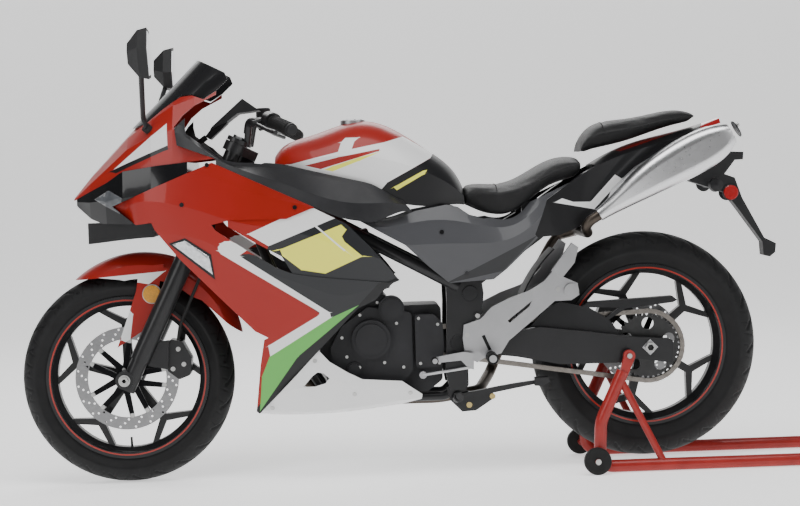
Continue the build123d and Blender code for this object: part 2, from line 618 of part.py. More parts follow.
SCREEN_STATIONS = (  # x, edge half width, edge z, centre z
    (836, 90, 948, 968),
    (760, 108, 974, 1042),
    (680, 116, 1020, 1121),
    (600, 118, 1060, 1198),
    (540, 116, 1085, 1240),
)
SCREEN_OUTLINE = [(826, 979), (779, 990), (730, 1029), (680, 1062), (648, 1065), (614, 1053), (580, 1074),
                  (550, 1102), (557, 1121), (637, 1163), (700, 1170), (850, 1000)]
with BuildPart() as screen_shell:
    for x, half, edge_z, centre_z in SCREEN_STATIONS:
        with BuildSketch(Plane.YZ.offset(x)):
            with BuildLine():
                ThreePointArc((half, edge_z), (0, centre_z), (-half, edge_z))
                Line((-half, edge_z), (GLASS_WALL - half, edge_z))
                ThreePointArc((GLASS_WALL - half, edge_z), (0, centre_z - GLASS_WALL * 1.4),
                              (half - GLASS_WALL, edge_z))
                Line((half - GLASS_WALL, edge_z), (half, edge_z))
            make_face()
    loft()
save(screen_shell.part & prism(SCREEN_OUTLINE, -200, 200), "windscreen")

LAMP_STATIONS = (  # x, then half width and z of the top edge, the crease and the low edge
    (984, (10, 794), (11, 782), (10, 770)),
    (940, (64, 812), (72, 780), (58, 735)),
    (890, (106, 836), (130, 785), (112, 716)),
    (840, (140, 866), (156, 790), (146, 712)),
    (760, (167, 880), (192, 800), (184, 740)),
    (640, (192, 890), (212, 865), (208, 840)),
)
LAMP_OUTLINE = [(990, 786.4), (889, 831.6), (840, 861.6), (747, 873.6), (660, 880.6), (660, 852.4),
                (746, 818.4), (870.6, 768.2), (807.6, 716.9), (813, 719), (938, 722), (958, 742), (984, 772)]
FAIRING_STAY = [(560, 0, 822), (668, 0, 832), (690, 0, 900), (621.3, 0, 950.5)]
STAY_RADIUS = 8.0
with BuildPart() as lamp_block:
    for x, top, crease, low in LAMP_STATIONS:
        right_line = [(-half, z) for half, z in (low, crease, top)]
        with BuildSketch(Plane.YZ.offset(x)):
            with BuildLine():
                Polyline(top, crease, low, *right_line, close=True)
            make_face()
    loft(ruled=True)
lamp = lamp_block.part & prism(LAMP_OUTLINE, -260, 260)
save(lamp - tube(FAIRING_STAY, STAY_RADIUS + RUNNING_GAP, [30, 30]), "headlamp")

CHIN_STATIONS = (  # x, half width, top z, low z
    (956, 12, 722.1, 664),
    (900, 60, 720.8, 670),
    (840, 84, 719.3, 676),
    (768, 96, 717.6, 680),
)
with BuildPart() as chin:
    for x, half, top_z, low_z in CHIN_STATIONS:
        with BuildSketch(Plane.YZ.offset(x)):
            with BuildLine():
                Polyline((half, top_z), (half * 0.92, low_z), (-half * 0.92, low_z), (-half, top_z),
                         close=True)
            make_face()
    loft()
save(chin.part, "chin_cowl")

TRIM_STATIONS = (
    (700, (146, 1012), (152, 975), (172, 960), (186, 918)),
    (600, (146, 908), (156, 902), (188, 900), (207, 876)),
    (520, (144, 876), (156, 868), (196, 858), (211, 836)),
    (460, (138, 874), (152, 862), (198, 836), (213, 808)),
    (380, (132, 862), (146, 850), (198, 806), (213, 772)),
    (280, (138, 838), (150, 826), (194, 770), (209, 724)),
    (180, (146, 812), (156, 800), (186, 756), (190, 704)),
    (60, (146, 764), (154, 756), (172, 740), (176, 725)),
)
TRIM_OUTLINE = [(694, 970), (687, 927), (589, 889.6), (583.5, 884), (583.5, 873.4), (467.8, 818.4), (283.8, 731.4),
                (262, 722), (232, 714), (204, 709), (160, 701), (62, 730), (108, 787), (187, 813), (322, 846), (391, 864), (437, 880), (466, 871),
                (546, 882), (588, 906), (627, 930), (664, 958), (668, 982), (667, 1000), (684, 984)]
trim_left = skin(TRIM_STATIONS, PANEL_WALL) & prism(TRIM_OUTLINE, 60, 300)
save(trim_left, "knee_trim_left")
save(right_hand(trim_left), "knee_trim_right")

BELLY_STATIONS = (
    (500, (120, 330), (118, 260), (92, 196), (60, 184)),
    (420, (140, 310), (138, 250), (112, 192), (66, 178)),
    (320, (152, 380), (150, 270), (122, 192), (70, 178)),
    (220, (152, 320), (148, 262), (124, 200), (72, 184)),
    (120, (146, 290), (142, 250), (124, 212), (76, 196)),
    (40, (138, 262), (134, 244), (120, 220), (80, 206)),
)
BELLY_OUTLINE = [(497, 180), (493.6, 188.6), (403.7, 279.7), (326.5, 360.5), (299, 329), (248, 297), (211, 278), (103, 269),
                 (48, 229), (50, 214), (129, 190), (234, 170), (339, 160), (497, 160)]
BELLY_VENT = [(372, 262), (345, 292), (332, 301), (316, 298), (300, 284), (312, 270), (340, 262)]
belly_left = (skin(BELLY_STATIONS, PANEL_WALL) & prism(BELLY_OUTLINE, 20, 300)) - prism(
    BELLY_VENT, 100, 300)
save(belly_left, "belly_pan_left")
save(right_hand(belly_left), "belly_pan_right")

COVER_STATIONS = (
    (232, (150, 722), (168, 705), (172, 690), (166, 640)),
    (150, (148, 706), (168, 690), (172, 650), (160, 560)),
    (60, (140, 728), (166, 700), (174, 640), (152, 540)),
    (-60, (126, 742), (158, 700), (172, 640), (146, 528)),
    (-160, (118, 704), (150, 680), (168, 640), (142, 528)),
    (-260, (112, 742), (136, 712), (152, 680), (132, 600)),
    (-380, (106, 800), (114, 786), (118, 770), (112, 700)),
)
COVER_OUTLINE = [(204, 708), (160, 700), (57, 730), (-33, 745), (-64, 738), (-98, 713), (-136, 703),
                 (-185, 710), (-314, 768), (-373, 795), (-309, 752), (-272, 656), (-280, 647),
                 (-191, 565), (-155, 538), (-34, 532), (21, 579), (84, 640), (120, 660)]
cover_left = skin(COVER_STATIONS, PANEL_WALL) & prism(COVER_OUTLINE, 60, 300)
save(cover_left, "side_cover_left")
save(right_hand(cover_left), "side_cover_right")

TAIL_STATIONS = (  # x, low half width, low z, half width, side z, top z
    (-170, 118, 630, 122, 700, 704),
    (-300, 122, 640, 126, 744, 748),
    (-400, 112, 660, 116, 812, 816),
    (-500, 88, 720, 104, 858, 876),
    (-620, 66, 780, 86, 893, 914),
    (-740, 46, 850, 58, 924, 942),
    (-808, 26, 900, 34, 945, 962),
)
TAIL_OUTLINE = [(-175, 647), (-312, 752), (-377, 797), (-452, 880), (-489, 894), (-741, 955), (-776, 968),
                (-748, 934), (-740, 932), (-556, 832), (-489, 772), (-462, 699), (-342, 652),
                (-286, 648)]
TAIL_FRONT_HOLLOW = [(-160, 600), (-160, 900), (-330, 900), (-330, 600)]
TAIL_REAR_HOLLOW = [(-320, 600), (-320, 900), (-420, 900), (-440, 850), (-470, 790), (-455, 700), (-420, 600)]
tail = body(TAIL_STATIONS) & prism(TAIL_OUTLINE, -200, 200)
tail = tail - prism(TAIL_FRONT_HOLLOW, -114, 114) - prism(TAIL_REAR_HOLLOW, -99, 99)
save(tail, "tail_cowl")

# ---------------------------------------------------------------- tank and seats
TANK_STATIONS = (  # x, low half width, low z, half width, side z, top z
    (432, 60, 852, 66, 862, 891),
    (380, 92, 842, 98, 872, 932),
    (300, 118, 815, 126, 884, 956),
    (190, 132, 780, 142, 884, 982),
    (90, 132, 752, 138, 862, 950),
    (0, 116, 742, 122, 826, 890),
    (-83.7, 84, 742, 90, 766, 796),
)
TANK_POST = [(366, 744), (400, 760), (394, 853), (372, 853)]     # rubber-capped rests on the rails
TANK_POST_Y = (78.0, 96.0)
SEAT_POST = [(-262, 704), (-240, 692), (-242, 764), (-262, 764)]
SEAT_POST_Y = (82.0, 98.0)


def post_spans(span):
    """Where a rest and its mirror image lie across the bike."""
    return (span, (-span[1], -span[0]))


def grown(outline):
    """A rest's four-sided outline with the running gap round its upper end."""
    (x0, z0), (x1, z1), (x2, z2), (x3, z3) = outline
    low, high = (-RUNNING_GAP, RUNNING_GAP) if x1 > x0 else (RUNNING_GAP, -RUNNING_GAP)
    return [(x0 + low, z0), (x1 + high, z1), (x2 + high, z2 + RUNNING_GAP), (x3 + low, z3 + RUNNING_GAP)]


CAP_X = 214.0
CAP_Z = 974.0
CAP_RADIUS = 34.0
CAP_HEIGHT = 12.0
NECK_RADIUS = 22.0
NECK_DEPTH = 46.0
with BuildPart() as tank:
    add(body(TANK_STATIONS))
    with BuildSketch(Plane.XY.offset(CAP_Z - RUNNING_GAP)):
        with Locations((CAP_X, 0)):
            Circle(CAP_RADIUS + 2)
    extrude(amount=40, mode=Mode.SUBTRACT)
    with BuildSketch(Plane.XY.offset(CAP_Z - NECK_DEPTH)):
        with Locations((CAP_X, 0)):
            Circle(NECK_RADIUS)
    extrude(amount=NECK_DEPTH + 10, mode=Mode.SUBTRACT)
tank_part = tank.part
for low, high in post_spans(TANK_POST_Y):
    tank_part = tank_part - prism(grown(TANK_POST), low - RUNNING_GAP, high + RUNNING_GAP)
save(tank_part, "fuel_tank")
with BuildPart() as cap:
    with BuildSketch(Plane.XY.offset(CAP_Z)):
        with Locations((CAP_X, 0)):
            Circle(CAP_RADIUS)
    extrude(amount=CAP_HEIGHT)
    fillet(cap.edges().group_by(Axis.Z)[-1], 3)
save(cap.part, "fuel_cap")

SEAT_STATIONS = (
    (-84, 78, 745, 86, 772, 786),
    (-110, 92, 736, 104, 776, 795),
    (-190, 108, 716, 134, 772, 794),
    (-280, 112, 768, 140, 800, 831),
    (-360, 104, 806, 126, 836, 862),
    (-412, 92, 830, 108, 848, 862),
)
seat = body(SEAT_STATIONS)
for low, high in post_spans(SEAT_POST_Y):
    seat = seat - prism(grown(SEAT_POST), low - RUNNING_GAP, high + RUNNING_GAP)
save(seat, "rider_seat")
PILLION_STATIONS = (
    (-408, 78, 874, 92, 878, 884),
    (-450, 84, 890, 100, 920, 946),
    (-510, 82, 902, 100, 932, 960),
    (-620, 70, 934, 88, 952, 975),
    (-700, 54, 954, 70, 964, 982),
    (-738, 40, 962, 52, 966, 972),
)
save(body(PILLION_STATIONS), "passenger_seat")

# ---------------------------------------------------------------- frame and engine
HEAD_GAP = 0.5
head_start = Vector(leg_point(LOWER_CLAMP_Z)) + Vector(-cos(radians(RAKE)), 0, -sin(radians(RAKE))) * FORK_OFFSET
head_low = head_start + FORK_DIRECTION * (CLAMP_THICKNESS + HEAD_GAP)
head_length = (UPPER_CLAMP_Z - LOWER_CLAMP_Z) / cos(radians(RAKE)) - CLAMP_THICKNESS - 2 * HEAD_GAP
PLATE_LOW = 108.0          # pivot plates, inner and outer face
PLATE_HIGH = 122.0
PILLAR_OUTLINE = [(-25, 560), (-120, 560), (-128, 500), (-122, 445), (-91, 415), (-80, 359), (-80, 250),
                  (-70, 237), (-28, 237), (-18, 291), (-22, 361), (-26, 466)]
left_rails = (  # route, radius, bends
    ([(538, 20, 838), (440, 92, 792), (250, 120, 690), (30, 120, 570), (-60, 114, 520)], 17, [60, 150, 200]),
    ([(540, 14, 806), (446, 46, 560), (354, 62, 300), (302, 62, 214), (-20, 62, 214), (-68, 62, 264)], 12,
     [80, 60, 40, 30]),
    ([(-30, 112, 585), (-190, 96, 672), (-300, 86, 732), (-442, 78, 800)], 12, [200, 200]),
    ([(-110, 112, 528), (-290, 92, 652), (-430, 80, 780)], 10, [200]),
    ([(-64, 52, 262), (-64, 112, 262)], 12, []),
)
with BuildPart() as head_tube:
    with BuildSketch(Plane(origin=tuple(head_low), z_dir=FORK_DIRECTION)):
        Circle(HEAD_TUBE_RADIUS)
    extrude(amount=head_length)
frame = head_tube.part
for route, radius, bends in left_rails:
    rail = tube(route, radius, bends)
    frame = frame + rail + right_hand(rail)
plate = prism(PILLAR_OUTLINE, PLATE_LOW, PLATE_HIGH)
for x, z in ((-78, 388), (-108, 440)):
    plate = plate + cross_cylinder(x, z, PLATE_HIGH - 1, 128 - RUNNING_GAP, 8)
frame = frame + plate + right_hand(plate)
frame = frame + cross_cylinder(-60, 540, -PLATE_LOW - 1, PLATE_LOW + 1, 14)
stand_ear = prism([(-20, 240), (-30, 205), (-62, 172), (-100, 174), (-150, 206), (-150, 220), (-80, 228),
                   (-70, 245)], 80, 88)
STAND_PIVOT = (-49.0, 95.0, 212.0)
STAND_SPLAY = Vector(-0.30, 0.90, 0.31).normalized()   # pivot bolt leans, so the leg swings outward
STAND_BOLT_RADIUS = 6.0


def along_bolt(reach):
    """Point on the side stand's pivot bolt, outward from its middle."""
    return tuple(Vector(*STAND_PIVOT) + STAND_SPLAY * reach)


for start, end, radius in ((-16, 0, 12), (-1, 13, STAND_BOLT_RADIUS), (12.4, 16, 10)):
    stand_ear = stand_ear + rod(along_bolt(start), along_bolt(end), radius)
frame = frame + stand_ear + cross_cylinder(-46, 236, 60, 88, 12)
frame = frame + tube(FAIRING_STAY, STAY_RADIUS, [30, 30])
for outline, span in ((TANK_POST, TANK_POST_Y), (SEAT_POST, SEAT_POST_Y)):
    for low, high in post_spans(span):
        frame = frame + prism(outline, low, high)
with BuildPart() as head_bore:
    with BuildSketch(Plane(origin=tuple(head_low - FORK_DIRECTION * 20), z_dir=FORK_DIRECTION)):
        Circle(STEM_RADIUS + RUNNING_GAP)
    extrude(amount=head_length + 40)
save(frame - head_bore.part, "main_frame")

with BuildPart() as swingarm:
    add(prism([(-60, 400), (-38, 388), (-36, 366), (-58, 354), (-130, 340), (-160, 335), (-160, 372),
               (-100, 392)], 94, PLATE_LOW - 1.5))
    add(prism([(-98, 348), (-98, 386), (-150, 384), (-280, 402), (-420, 384), (-542, 366), (-636, 358), (-644, 352),
               (-641, 292), (-549, 306), (-487, 297), (-333, 298), (-214, 323), (-150, 331)],
              98, SWINGARM_Y + SWINGARM_THICKNESS))
half_arm = swingarm.part
swing = half_arm + right_hand(half_arm)
swing = swing + cross_cylinder(*SWINGARM_PIVOT, -95, 95, 19) + cross_cylinder(-188, 350, -99, 99, 20)
for side in (1, -1):
    face = (SWINGARM_Y + SWINGARM_THICKNESS) * side
    for reach, radius in ((24, 6), (6, 15), (34, 6)):
        swing = swing + cross_cylinder(*SPOOL, min(face - side, face + reach * side),
                                       max(face - side, face + reach * side), radius)
rear_axle = cross_cylinder(REAR_AXLE_X, REAR_AXLE_Z, -132, 132, AXLE_RADIUS - 0.1)
for y_low, y_high in ((CHAIN_Y - SPROCKET_THICKNESS / 2, 99), (-99, REAR_DISC_Y + DISC_THICKNESS / 2)):
    rear_axle = rear_axle + cross_cylinder(REAR_AXLE_X, REAR_AXLE_Z, y_low, y_high, SPACER_RADIUS)
swing = swing + rear_axle
save(swing, "swingarm")

with BuildPart() as crankcase:
    with BuildSketch(side_plane(72)):
        with BuildLine():
            Polyline((-12, 470), (-12, 262), (30, 230), (262, 230), (306, 268), (326, 350), (290, 432),
                     (262, 475), (144, 504.5), (120, 470), close=True)
        make_face()
        fillet(vertices().filter_by(lambda v: v.Z < 440), 16)
    extrude(amount=144)
    with BuildSketch(side_plane(96)):
        with BuildLine():
            Polyline((70, 452), (70, 292), (96, 262), (250, 258), (288, 300), (296, 360), (262, 420),
                     (190, 470), close=True)
        make_face()
        fillet(vertices(), 14)
    extrude(amount=25)
    with BuildSketch(side_plane(-71)):
        with BuildLine():
            Polyline((10, 440), (6, 300), (40, 256), (262, 256), (300, 320), (296, 400), (250, 452), close=True)
        make_face()
        fillet(vertices(), 18)
    extrude(amount=28)
    with BuildSketch(side_plane(-98)):
        with Locations((122, 352)):
            Circle(78)
    extrude(amount=14)
    for x, z, radius, top in ((183, 382, 53.5, 112), (125, 464, 35.5, 104), (232, 300, 20, 104)):
        with BuildSketch(side_plane(top)):
            with Locations((x, z)):
                Circle(radius)
        extrude(amount=top - 70)
        with BuildSketch(side_plane(top + 4)):
            with Locations((x, z)):
                Circle(radius * 0.8)
        extrude(amount=6)
    with BuildSketch(side_plane(90)):
        with Locations(ENGINE_OUTPUT):
            Circle(12)
    extrude(amount=20)
    with BuildSketch(side_plane(CHAIN_Y + SPROCKET_THICKNESS / 2)):
        with Locations(ENGINE_OUTPUT):
            Circle(FRONT_PITCH_RADIUS - ROLLER_RADIUS - TOOTH_GAP)
    extrude(amount=SPROCKET_THICKNESS)
save(crankcase.part, "crankcase")

with BuildPart() as cover:
    with BuildSketch(side_plane(112)):
        with BuildLine():
            Polyline((62, 446), (62, 300), (-8, 300), (-16, 350), (-14, 420), (10, 446), close=True)
        make_face()
        fillet(vertices(), 12)
    extrude(amount=14)
    with BuildSketch(side_plane(99)):
        with BuildLine():
            Polyline((62, 446), (62, 428), (20, 428), (20, 446), close=True)
        make_face()
    extrude(amount=26.7)
save(cover.part, "sprocket_cover")

CYLINDER_TILT = 14.0
CYLINDER_FOOT = (196.0, 0.0, 491.9)
UP_THE_BORE = Vector(sin(radians(CYLINDER_TILT)), 0, cos(radians(CYLINDER_TILT)))
FIN_PITCH = 11.0
FIN_COUNT = 12
FIN_THICKNESS = 3.5


def bore_plane(height):
    """Plane square to the cylinder's bore at a height above its foot."""
    origin = Vector(*CYLINDER_FOOT) + UP_THE_BORE * height
    return Plane(origin=tuple(origin), x_dir=(0, 1, 0), z_dir=UP_THE_BORE)


with BuildPart() as cylinder:
    with BuildSketch(bore_plane(0)):
        RectangleRounded(104, 108, 20)
    extrude(amount=FIN_COUNT * FIN_PITCH + 20)
    for k in range(FIN_COUNT):
        with BuildSketch(bore_plane(10 + k * FIN_PITCH)):
            RectangleRounded(146 - (12 if k in (6, 7) else 0), 150 - (12 if k in (6, 7) else 0), 26)
        extrude(amount=FIN_THICKNESS)
    with BuildSketch(bore_plane(FIN_COUNT * FIN_PITCH + 12)):
        RectangleRounded(126, 120, 18)
    extrude(amount=40)
    fillet(cylinder.faces().sort_by(Axis.Z)[-1].edges(), 8)
save(cylinder.part, "cylinder")


MUFFLER_START = (-446.0, 153.0, 704.0)
MUFFLER_END = (-824.0, 153.0, 925.0)
muffler_axis = (Vector(*MUFFLER_END) - Vector(*MUFFLER_START)).normalized()
muffler_up = Vector(muffler_axis.Z, 0, -muffler_axis.X)
MUFFLER_STATIONS = (  # distance along, centre above the axis, height, width across, corner
    (0, 0, 34, 34, 16),
    (62, 4, 52, 52, 20),
    (150, 9, 84, 76, 26),
    (240, 8, 106, 84, 30),
    (335, 2, 108, 84, 30),
    (420, 0, 56, 70, 24),
)
with BuildPart() as muffler:
    for along, lift, height, width, corner in MUFFLER_STATIONS:
        origin = Vector(*MUFFLER_START) + muffler_axis * along + muffler_up * lift
        with BuildSketch(Plane(origin=tuple(origin), x_dir=(0, 1, 0), z_dir=muffler_axis)):
            RectangleRounded(width, height, corner)
    loft()
save(muffler.part, "muffler_left")
save(right_hand(muffler.part), "muffler_right")

PORT = Vector(*CYLINDER_FOOT) + UP_THE_BORE * 112
FORWARD_OF_BORE = Vector(cos(radians(CYLINDER_TILT)), 0, -sin(radians(CYLINDER_TILT)))
port_face = PORT + FORWARD_OF_BORE * (75 + HEAD_GAP)
port_bend = PORT + FORWARD_OF_BORE * 130
left_inlet = Vector(*MUFFLER_START) - muffler_axis * HEAD_GAP
left_bend = Vector(*MUFFLER_START) - muffler_axis * 50
route = [tuple(port_face), tuple(port_bend), (424, 0, 440), (384, 0, 280), (300, 20, 208), (0, 30, 206),
         (-120, -50, 214), (-160, -160, 250), (-236, -176, 420), (-352, -176, 616),
         (left_bend.X, -left_bend.Y, left_bend.Z), (left_inlet.X, -left_inlet.Y, left_inlet.Z)]
header = tube(route, 15, [35, 60, 60, 60, 80, 60, 40, 80, 60, 40])
crossover = tube([(-372, -172, 640), (-420, -110, 655), (-420, 110, 655), tuple(left_bend),
                  tuple(left_inlet)], 14, [40, 40, 30])
save(header + crossover, "exhaust_pipes")

# ---------------------------------------------------------------- rear guards and foot controls
GUARD_OUTLINE = [(-252, 400), (-300, 452), (-340, 468), (-419, 449), (-471, 416), (-503, 372.1),
                 (-420, 384.3), (-280, 402.3)]
BLADE_OUTLINE = [(-380, 444), (-414, 463), (-649, 473), (-661, 463), (-649, 457), (-519, 444), (-470, 414),
                 (-462, 420), (-500, 447), (-420, 450)]
guard = prism(GUARD_OUTLINE, 104, 112) + prism(BLADE_OUTLINE, 100, 112)
guard = guard + prism([(-410, 461), (-412, 464), (-649, 474), (-649, 471)], 74, 112)
save(guard, "chain_guard")

HUGGER_RADIUS = 371.9
with BuildPart() as hugger:
    with BuildSketch(side_plane(60)):
        with Locations((REAR_AXLE_X, REAR_AXLE_Z)):
            Circle(HUGGER_RADIUS)
            Circle(HUGGER_RADIUS - 4, mode=Mode.SUBTRACT)
    extrude(amount=120)
hugger_part = hugger.part & prism([(REAR_AXLE_X, REAR_AXLE_Z + 5), (0, REAR_AXLE_Z + 12), (0, 700),
                                   (REAR_AXLE_X + 330, 700)], -70, 70)
save(hugger_part, "rear_hugger")

BRACKET_OUTLINE = [(-70, 416), (-117, 431), (-146, 461), (-195, 484), (-251, 503), (-294, 529), (-318, 556),
                   (-346, 538), (-384, 520), (-388, 488), (-366, 474), (-320, 473), (-263, 426), (-192, 369),
                   (-170, 335), (-121, 323), (-104, 312), (-72, 330), (-66, 380)]
BRACKET_SLOT = [(-190, 424), (-257, 475), (-252, 461), (-196, 417)]
BRACKET_LOW = 128.0
BRACKET_HIGH = 140.0
bracket = prism(BRACKET_OUTLINE, BRACKET_LOW, BRACKET_HIGH) - prism(BRACKET_SLOT, 100, 200)
bracket = bracket - prism([(-126, 388), (-118, 384), (-136, 342), (-144, 346)], 100, 200)
bracket = bracket + cross_cylinder(-366, 500, BRACKET_LOW - 4, BRACKET_HIGH + 10, 20)
bracket = bracket + prism([(-312, 556), (-370, 631), (-388, 618), (-376, 576), (-340, 534)], 132, 148)
bracket = bracket + cross_cylinder(-140, 330, BRACKET_HIGH - 1, BRACKET_HIGH + 14, 15)
bracket = bracket + cross_cylinder(-140, 330, BRACKET_HIGH + 12, BRACKET_HIGH + 92, 10)
save(bracket, "footrest_left")
save(right_hand(bracket), "footrest_right")

LEVER_OUTLINE = [(22, 322), (12, 333), (-65, 345), (-94, 340), (-92, 296), (-78, 300), (-58, 322), (9, 317)]
lever_piece = prism(LEVER_OUTLINE, 158, 166)
lever_piece = lever_piece + cross_cylinder(-82, 330, BRACKET_HIGH + RUNNING_GAP, 160, 9)
toe = cross_cylinder(14, 325, 164, 196, 7)
save(lever_piece + toe + rod((44, 112, 280), (-84, 162, 302), 4) + cross_cylinder(44, 280, 96.3, 116, 10),
     "gear_lever")
save(right_hand(lever_piece + toe), "brake_pedal")

# ---------------------------------------------------------------- rear brake caliper
REAR_CALIPER_Y = (-97.0, -52.0)
with BuildPart() as rear_caliper:
    with BuildSketch(side_plane(REAR_CALIPER_Y[1])):
        with BuildLine():
            Polyline((-530, 455), (-470, 440), (-452, 395), (-460, 372), (-486, 380), (-520, 400), (-548, 430),
                     close=True)
        make_face()
        fillet(vertices(), 8)
    extrude(amount=REAR_CALIPER_Y[1] - REAR_CALIPER_Y[0])
    with BuildSketch(side_plane(REAR_DISC_Y + DISC_THICKNESS / 2 + 5)):
        with Locations(REAR_SPROCKET):
            Circle(REAR_DISC_RADIUS + 6)
    extrude(amount=DISC_THICKNESS + 10, mode=Mode.SUBTRACT)
caliper_foot = prism([(-505, 371.8), (-464, 377.9), (-460, 420), (-505, 430)], -112, -96)
save(rear_caliper.part + caliper_foot, "rear_caliper")

# ---------------------------------------------------------------- side stand
STAND_LEG_Y = 89.0
leg = rod(along_bolt(0.6), along_bolt(12), 15)
leg = leg + prism([(-61, 208), (-61, 224), (-200, 246), (-284, 256), (-288, 247), (-200, 232)],
                  STAND_LEG_Y, STAND_LEG_Y + 12)
leg = leg + prism([(-262, 262), (-300, 262), (-304, 250), (-284, 238), (-262, 240)], STAND_LEG_Y,
                  STAND_LEG_Y + 26)
leg = leg - rod(along_bolt(-20), along_bolt(30), STAND_BOLT_RADIUS + RUNNING_GAP)
save(leg, "side_stand")

# ---------------------------------------------------------------- paddock stand
ROLLER_PIN = 49.0          # roller pin's end outside the stand tube's centre line
half = STAND_HALF_WIDTH
base_z = STAND_TUBE_RADIUS
route = [(-500, half, 276), (-436, half, 140), (-430, half, base_z), (STAND_HANDLE_X, half, base_z),
         (STAND_HANDLE_X, -half, base_z), (-430, -half, base_z), (-436, -half, 140),
         (-500, -half, 276)]
stand = tube(route, STAND_TUBE_RADIUS, [90, 34, 70, 70, 34, 90])
for side in (1, -1):
    y = half * side
    stand = stand + rod((-494, y, 252), (-607, y, base_z + 4), 10)
    pin_end = y + ROLLER_PIN * side
    stand = stand + cross_cylinder(STAND_ROLLER_X, STAND_ROLLER_RADIUS, min(y, pin_end), max(y, pin_end), 8)
    stand = stand + cross_cylinder(*SPOOL, y - 7, y + 7, 16)
    stand = stand + prism([(-534, 314), (-502, 314), (-486, 258), (-508, 256)], y - 7, y + 7)
    stand = stand - cross_cylinder(*SPOOL, y - 20, y + 20, 6 + RUNNING_GAP)
save(stand, "paddock_stand")
with BuildPart() as roller:
    with BuildSketch(side_plane(half + ROLLER_PIN - 3.5)):
        with Locations((STAND_ROLLER_X, STAND_ROLLER_RADIUS)):
            Circle(STAND_ROLLER_RADIUS)
            Circle(8 + RUNNING_GAP, mode=Mode.SUBTRACT)
    extrude(amount=23)
    fillet(roller.edges().filter_by(GeomType.CIRCLE).sort_by(SortBy.RADIUS)[-2:], 4)
save(roller.part, "stand_roller_left")
save(right_hand(roller.part), "stand_roller_right")

# ---------------------------------------------------------------- mirrors, dash, tail pieces
MIRROR_STATIONS = (  # x, centre y, centre z, half width, half height
    (737, 330, 1162, 62, 66),
    (762, 330, 1162, 56, 60),
    (792, 326, 1164, 22, 26),
)
with BuildPart() as mirror_head:
    for x, y, z, half_width, half_height in MIRROR_STATIONS:
        with BuildSketch(Plane.YZ.offset(x)):
            with BuildLine():
                Polyline((y - half_width, z - half_height * 0.2), (y - half_width * 0.4, z + half_height * 0.9),
                         (y + half_width * 0.6, z + half_height), (y + half_width, z + half_height * 0.2),
                         (y + half_width * 0.3, z - half_height), (y - half_width * 0.6, z - half_height * 0.9),
                         close=True)
            make_face()
    loft(ruled=True)
COWL_POINT = Vector(766, 121.9, 972.1)     # where the mirror's foot sits on the nose, and the way out
COWL_NORMAL = Vector(0.613, 0.544, 0.571).normalized()
foot_top = COWL_POINT + COWL_NORMAL * 14
mirror_left = mirror_head.part + tube([tuple(COWL_POINT + COWL_NORMAL * 8), (778, 146, 1004), (760, 318, 1110)],
                                      7, [24])
mirror_left = mirror_left + rod(tuple(COWL_POINT + COWL_NORMAL * 0.5), tuple(foot_top), 13)
save(mirror_left, "mirror_left")
save(right_hand(mirror_left), "mirror_right")

dash_head = prism([(470, 1019), (515, 1052), (600, 978), (606, 970), (560, 990), (530, 1012)], -62, 62)
dash_foot = prism([(560, 989), (590, 986), (600, 978), (622, 952), (608, 943), (560, 986)], -34, 34)
save(dash_head + dash_foot, "instrument_cluster")
LAMP_TIP_OUTLINE = [(-748.4, 933.8), (-776.4, 968.2), (-808, 965), (-808, 946), (-790, 941)]
save(body(TAIL_STATIONS) & prism(LAMP_TIP_OUTLINE, -60, 60), "tail_lamp")
HOLDER_OUTLINE = [(-692, 905.5), (-720, 920.7), (-760, 860), (-802, 850), (-836, 866), (-873, 864), (-871, 843),
                  (-848, 842), (-818, 804), (-847, 793), (-866, 737), (-926, 623), (-959, 606), (-956, 581),
                  (-941, 569), (-923, 574), (-921, 611), (-853, 708), (-820, 752), (-722, 786)]
save(prism(HOLDER_OUTLINE, -24, 24), "plate_holder")
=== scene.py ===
import bpy, bmesh
from math import acos, atan2, cos, hypot, pi, radians, sin, tan
from mathutils import Matrix, Vector
from mathutils.bvhtree import BVHTree
from mathutils.geometry import tessellate_polygon


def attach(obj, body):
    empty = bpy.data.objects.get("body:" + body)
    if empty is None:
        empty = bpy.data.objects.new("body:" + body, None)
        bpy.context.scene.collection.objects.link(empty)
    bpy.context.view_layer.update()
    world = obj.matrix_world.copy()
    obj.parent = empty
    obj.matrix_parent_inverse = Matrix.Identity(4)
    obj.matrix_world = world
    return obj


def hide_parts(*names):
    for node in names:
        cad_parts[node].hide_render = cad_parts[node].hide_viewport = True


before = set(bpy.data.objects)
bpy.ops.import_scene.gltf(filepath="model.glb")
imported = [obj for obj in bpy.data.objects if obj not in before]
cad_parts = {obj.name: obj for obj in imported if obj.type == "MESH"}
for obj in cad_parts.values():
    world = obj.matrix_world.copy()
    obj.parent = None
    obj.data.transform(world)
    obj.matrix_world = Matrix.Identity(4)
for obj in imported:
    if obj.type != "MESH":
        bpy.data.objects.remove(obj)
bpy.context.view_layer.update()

# ---- Viewing position -------------------------------------------------------------------
# A long lens stands five metres off the left side, a little ahead of the middle and at tank
# height, turned slightly rearward and tipped down.
CAMERA_PLACE = Vector((0.2442, 5.0, 0.837))
YAW, PITCH, ROLL = radians(1.726), radians(2.582), radians(1.79)
forward = Vector((-sin(YAW) * cos(PITCH), -cos(YAW) * cos(PITCH), -sin(PITCH)))
across = Vector((-cos(YAW), sin(YAW), 0.0))
upward = across.cross(forward)
right = across * cos(ROLL) - upward * sin(ROLL)
top = across * sin(ROLL) + upward * cos(ROLL)
camera_data = bpy.data.cameras.new("camera")
camera_data.lens, camera_data.sensor_width, camera_data.sensor_fit = 80.645, 36.0, "HORIZONTAL"
camera = bpy.data.objects.new("camera", camera_data)
camera.matrix_world = Matrix((right, top, -forward)).transposed().to_4x4()
camera.location = CAMERA_PLACE
bpy.context.scene.collection.objects.link(camera)
bpy.context.scene.camera = camera

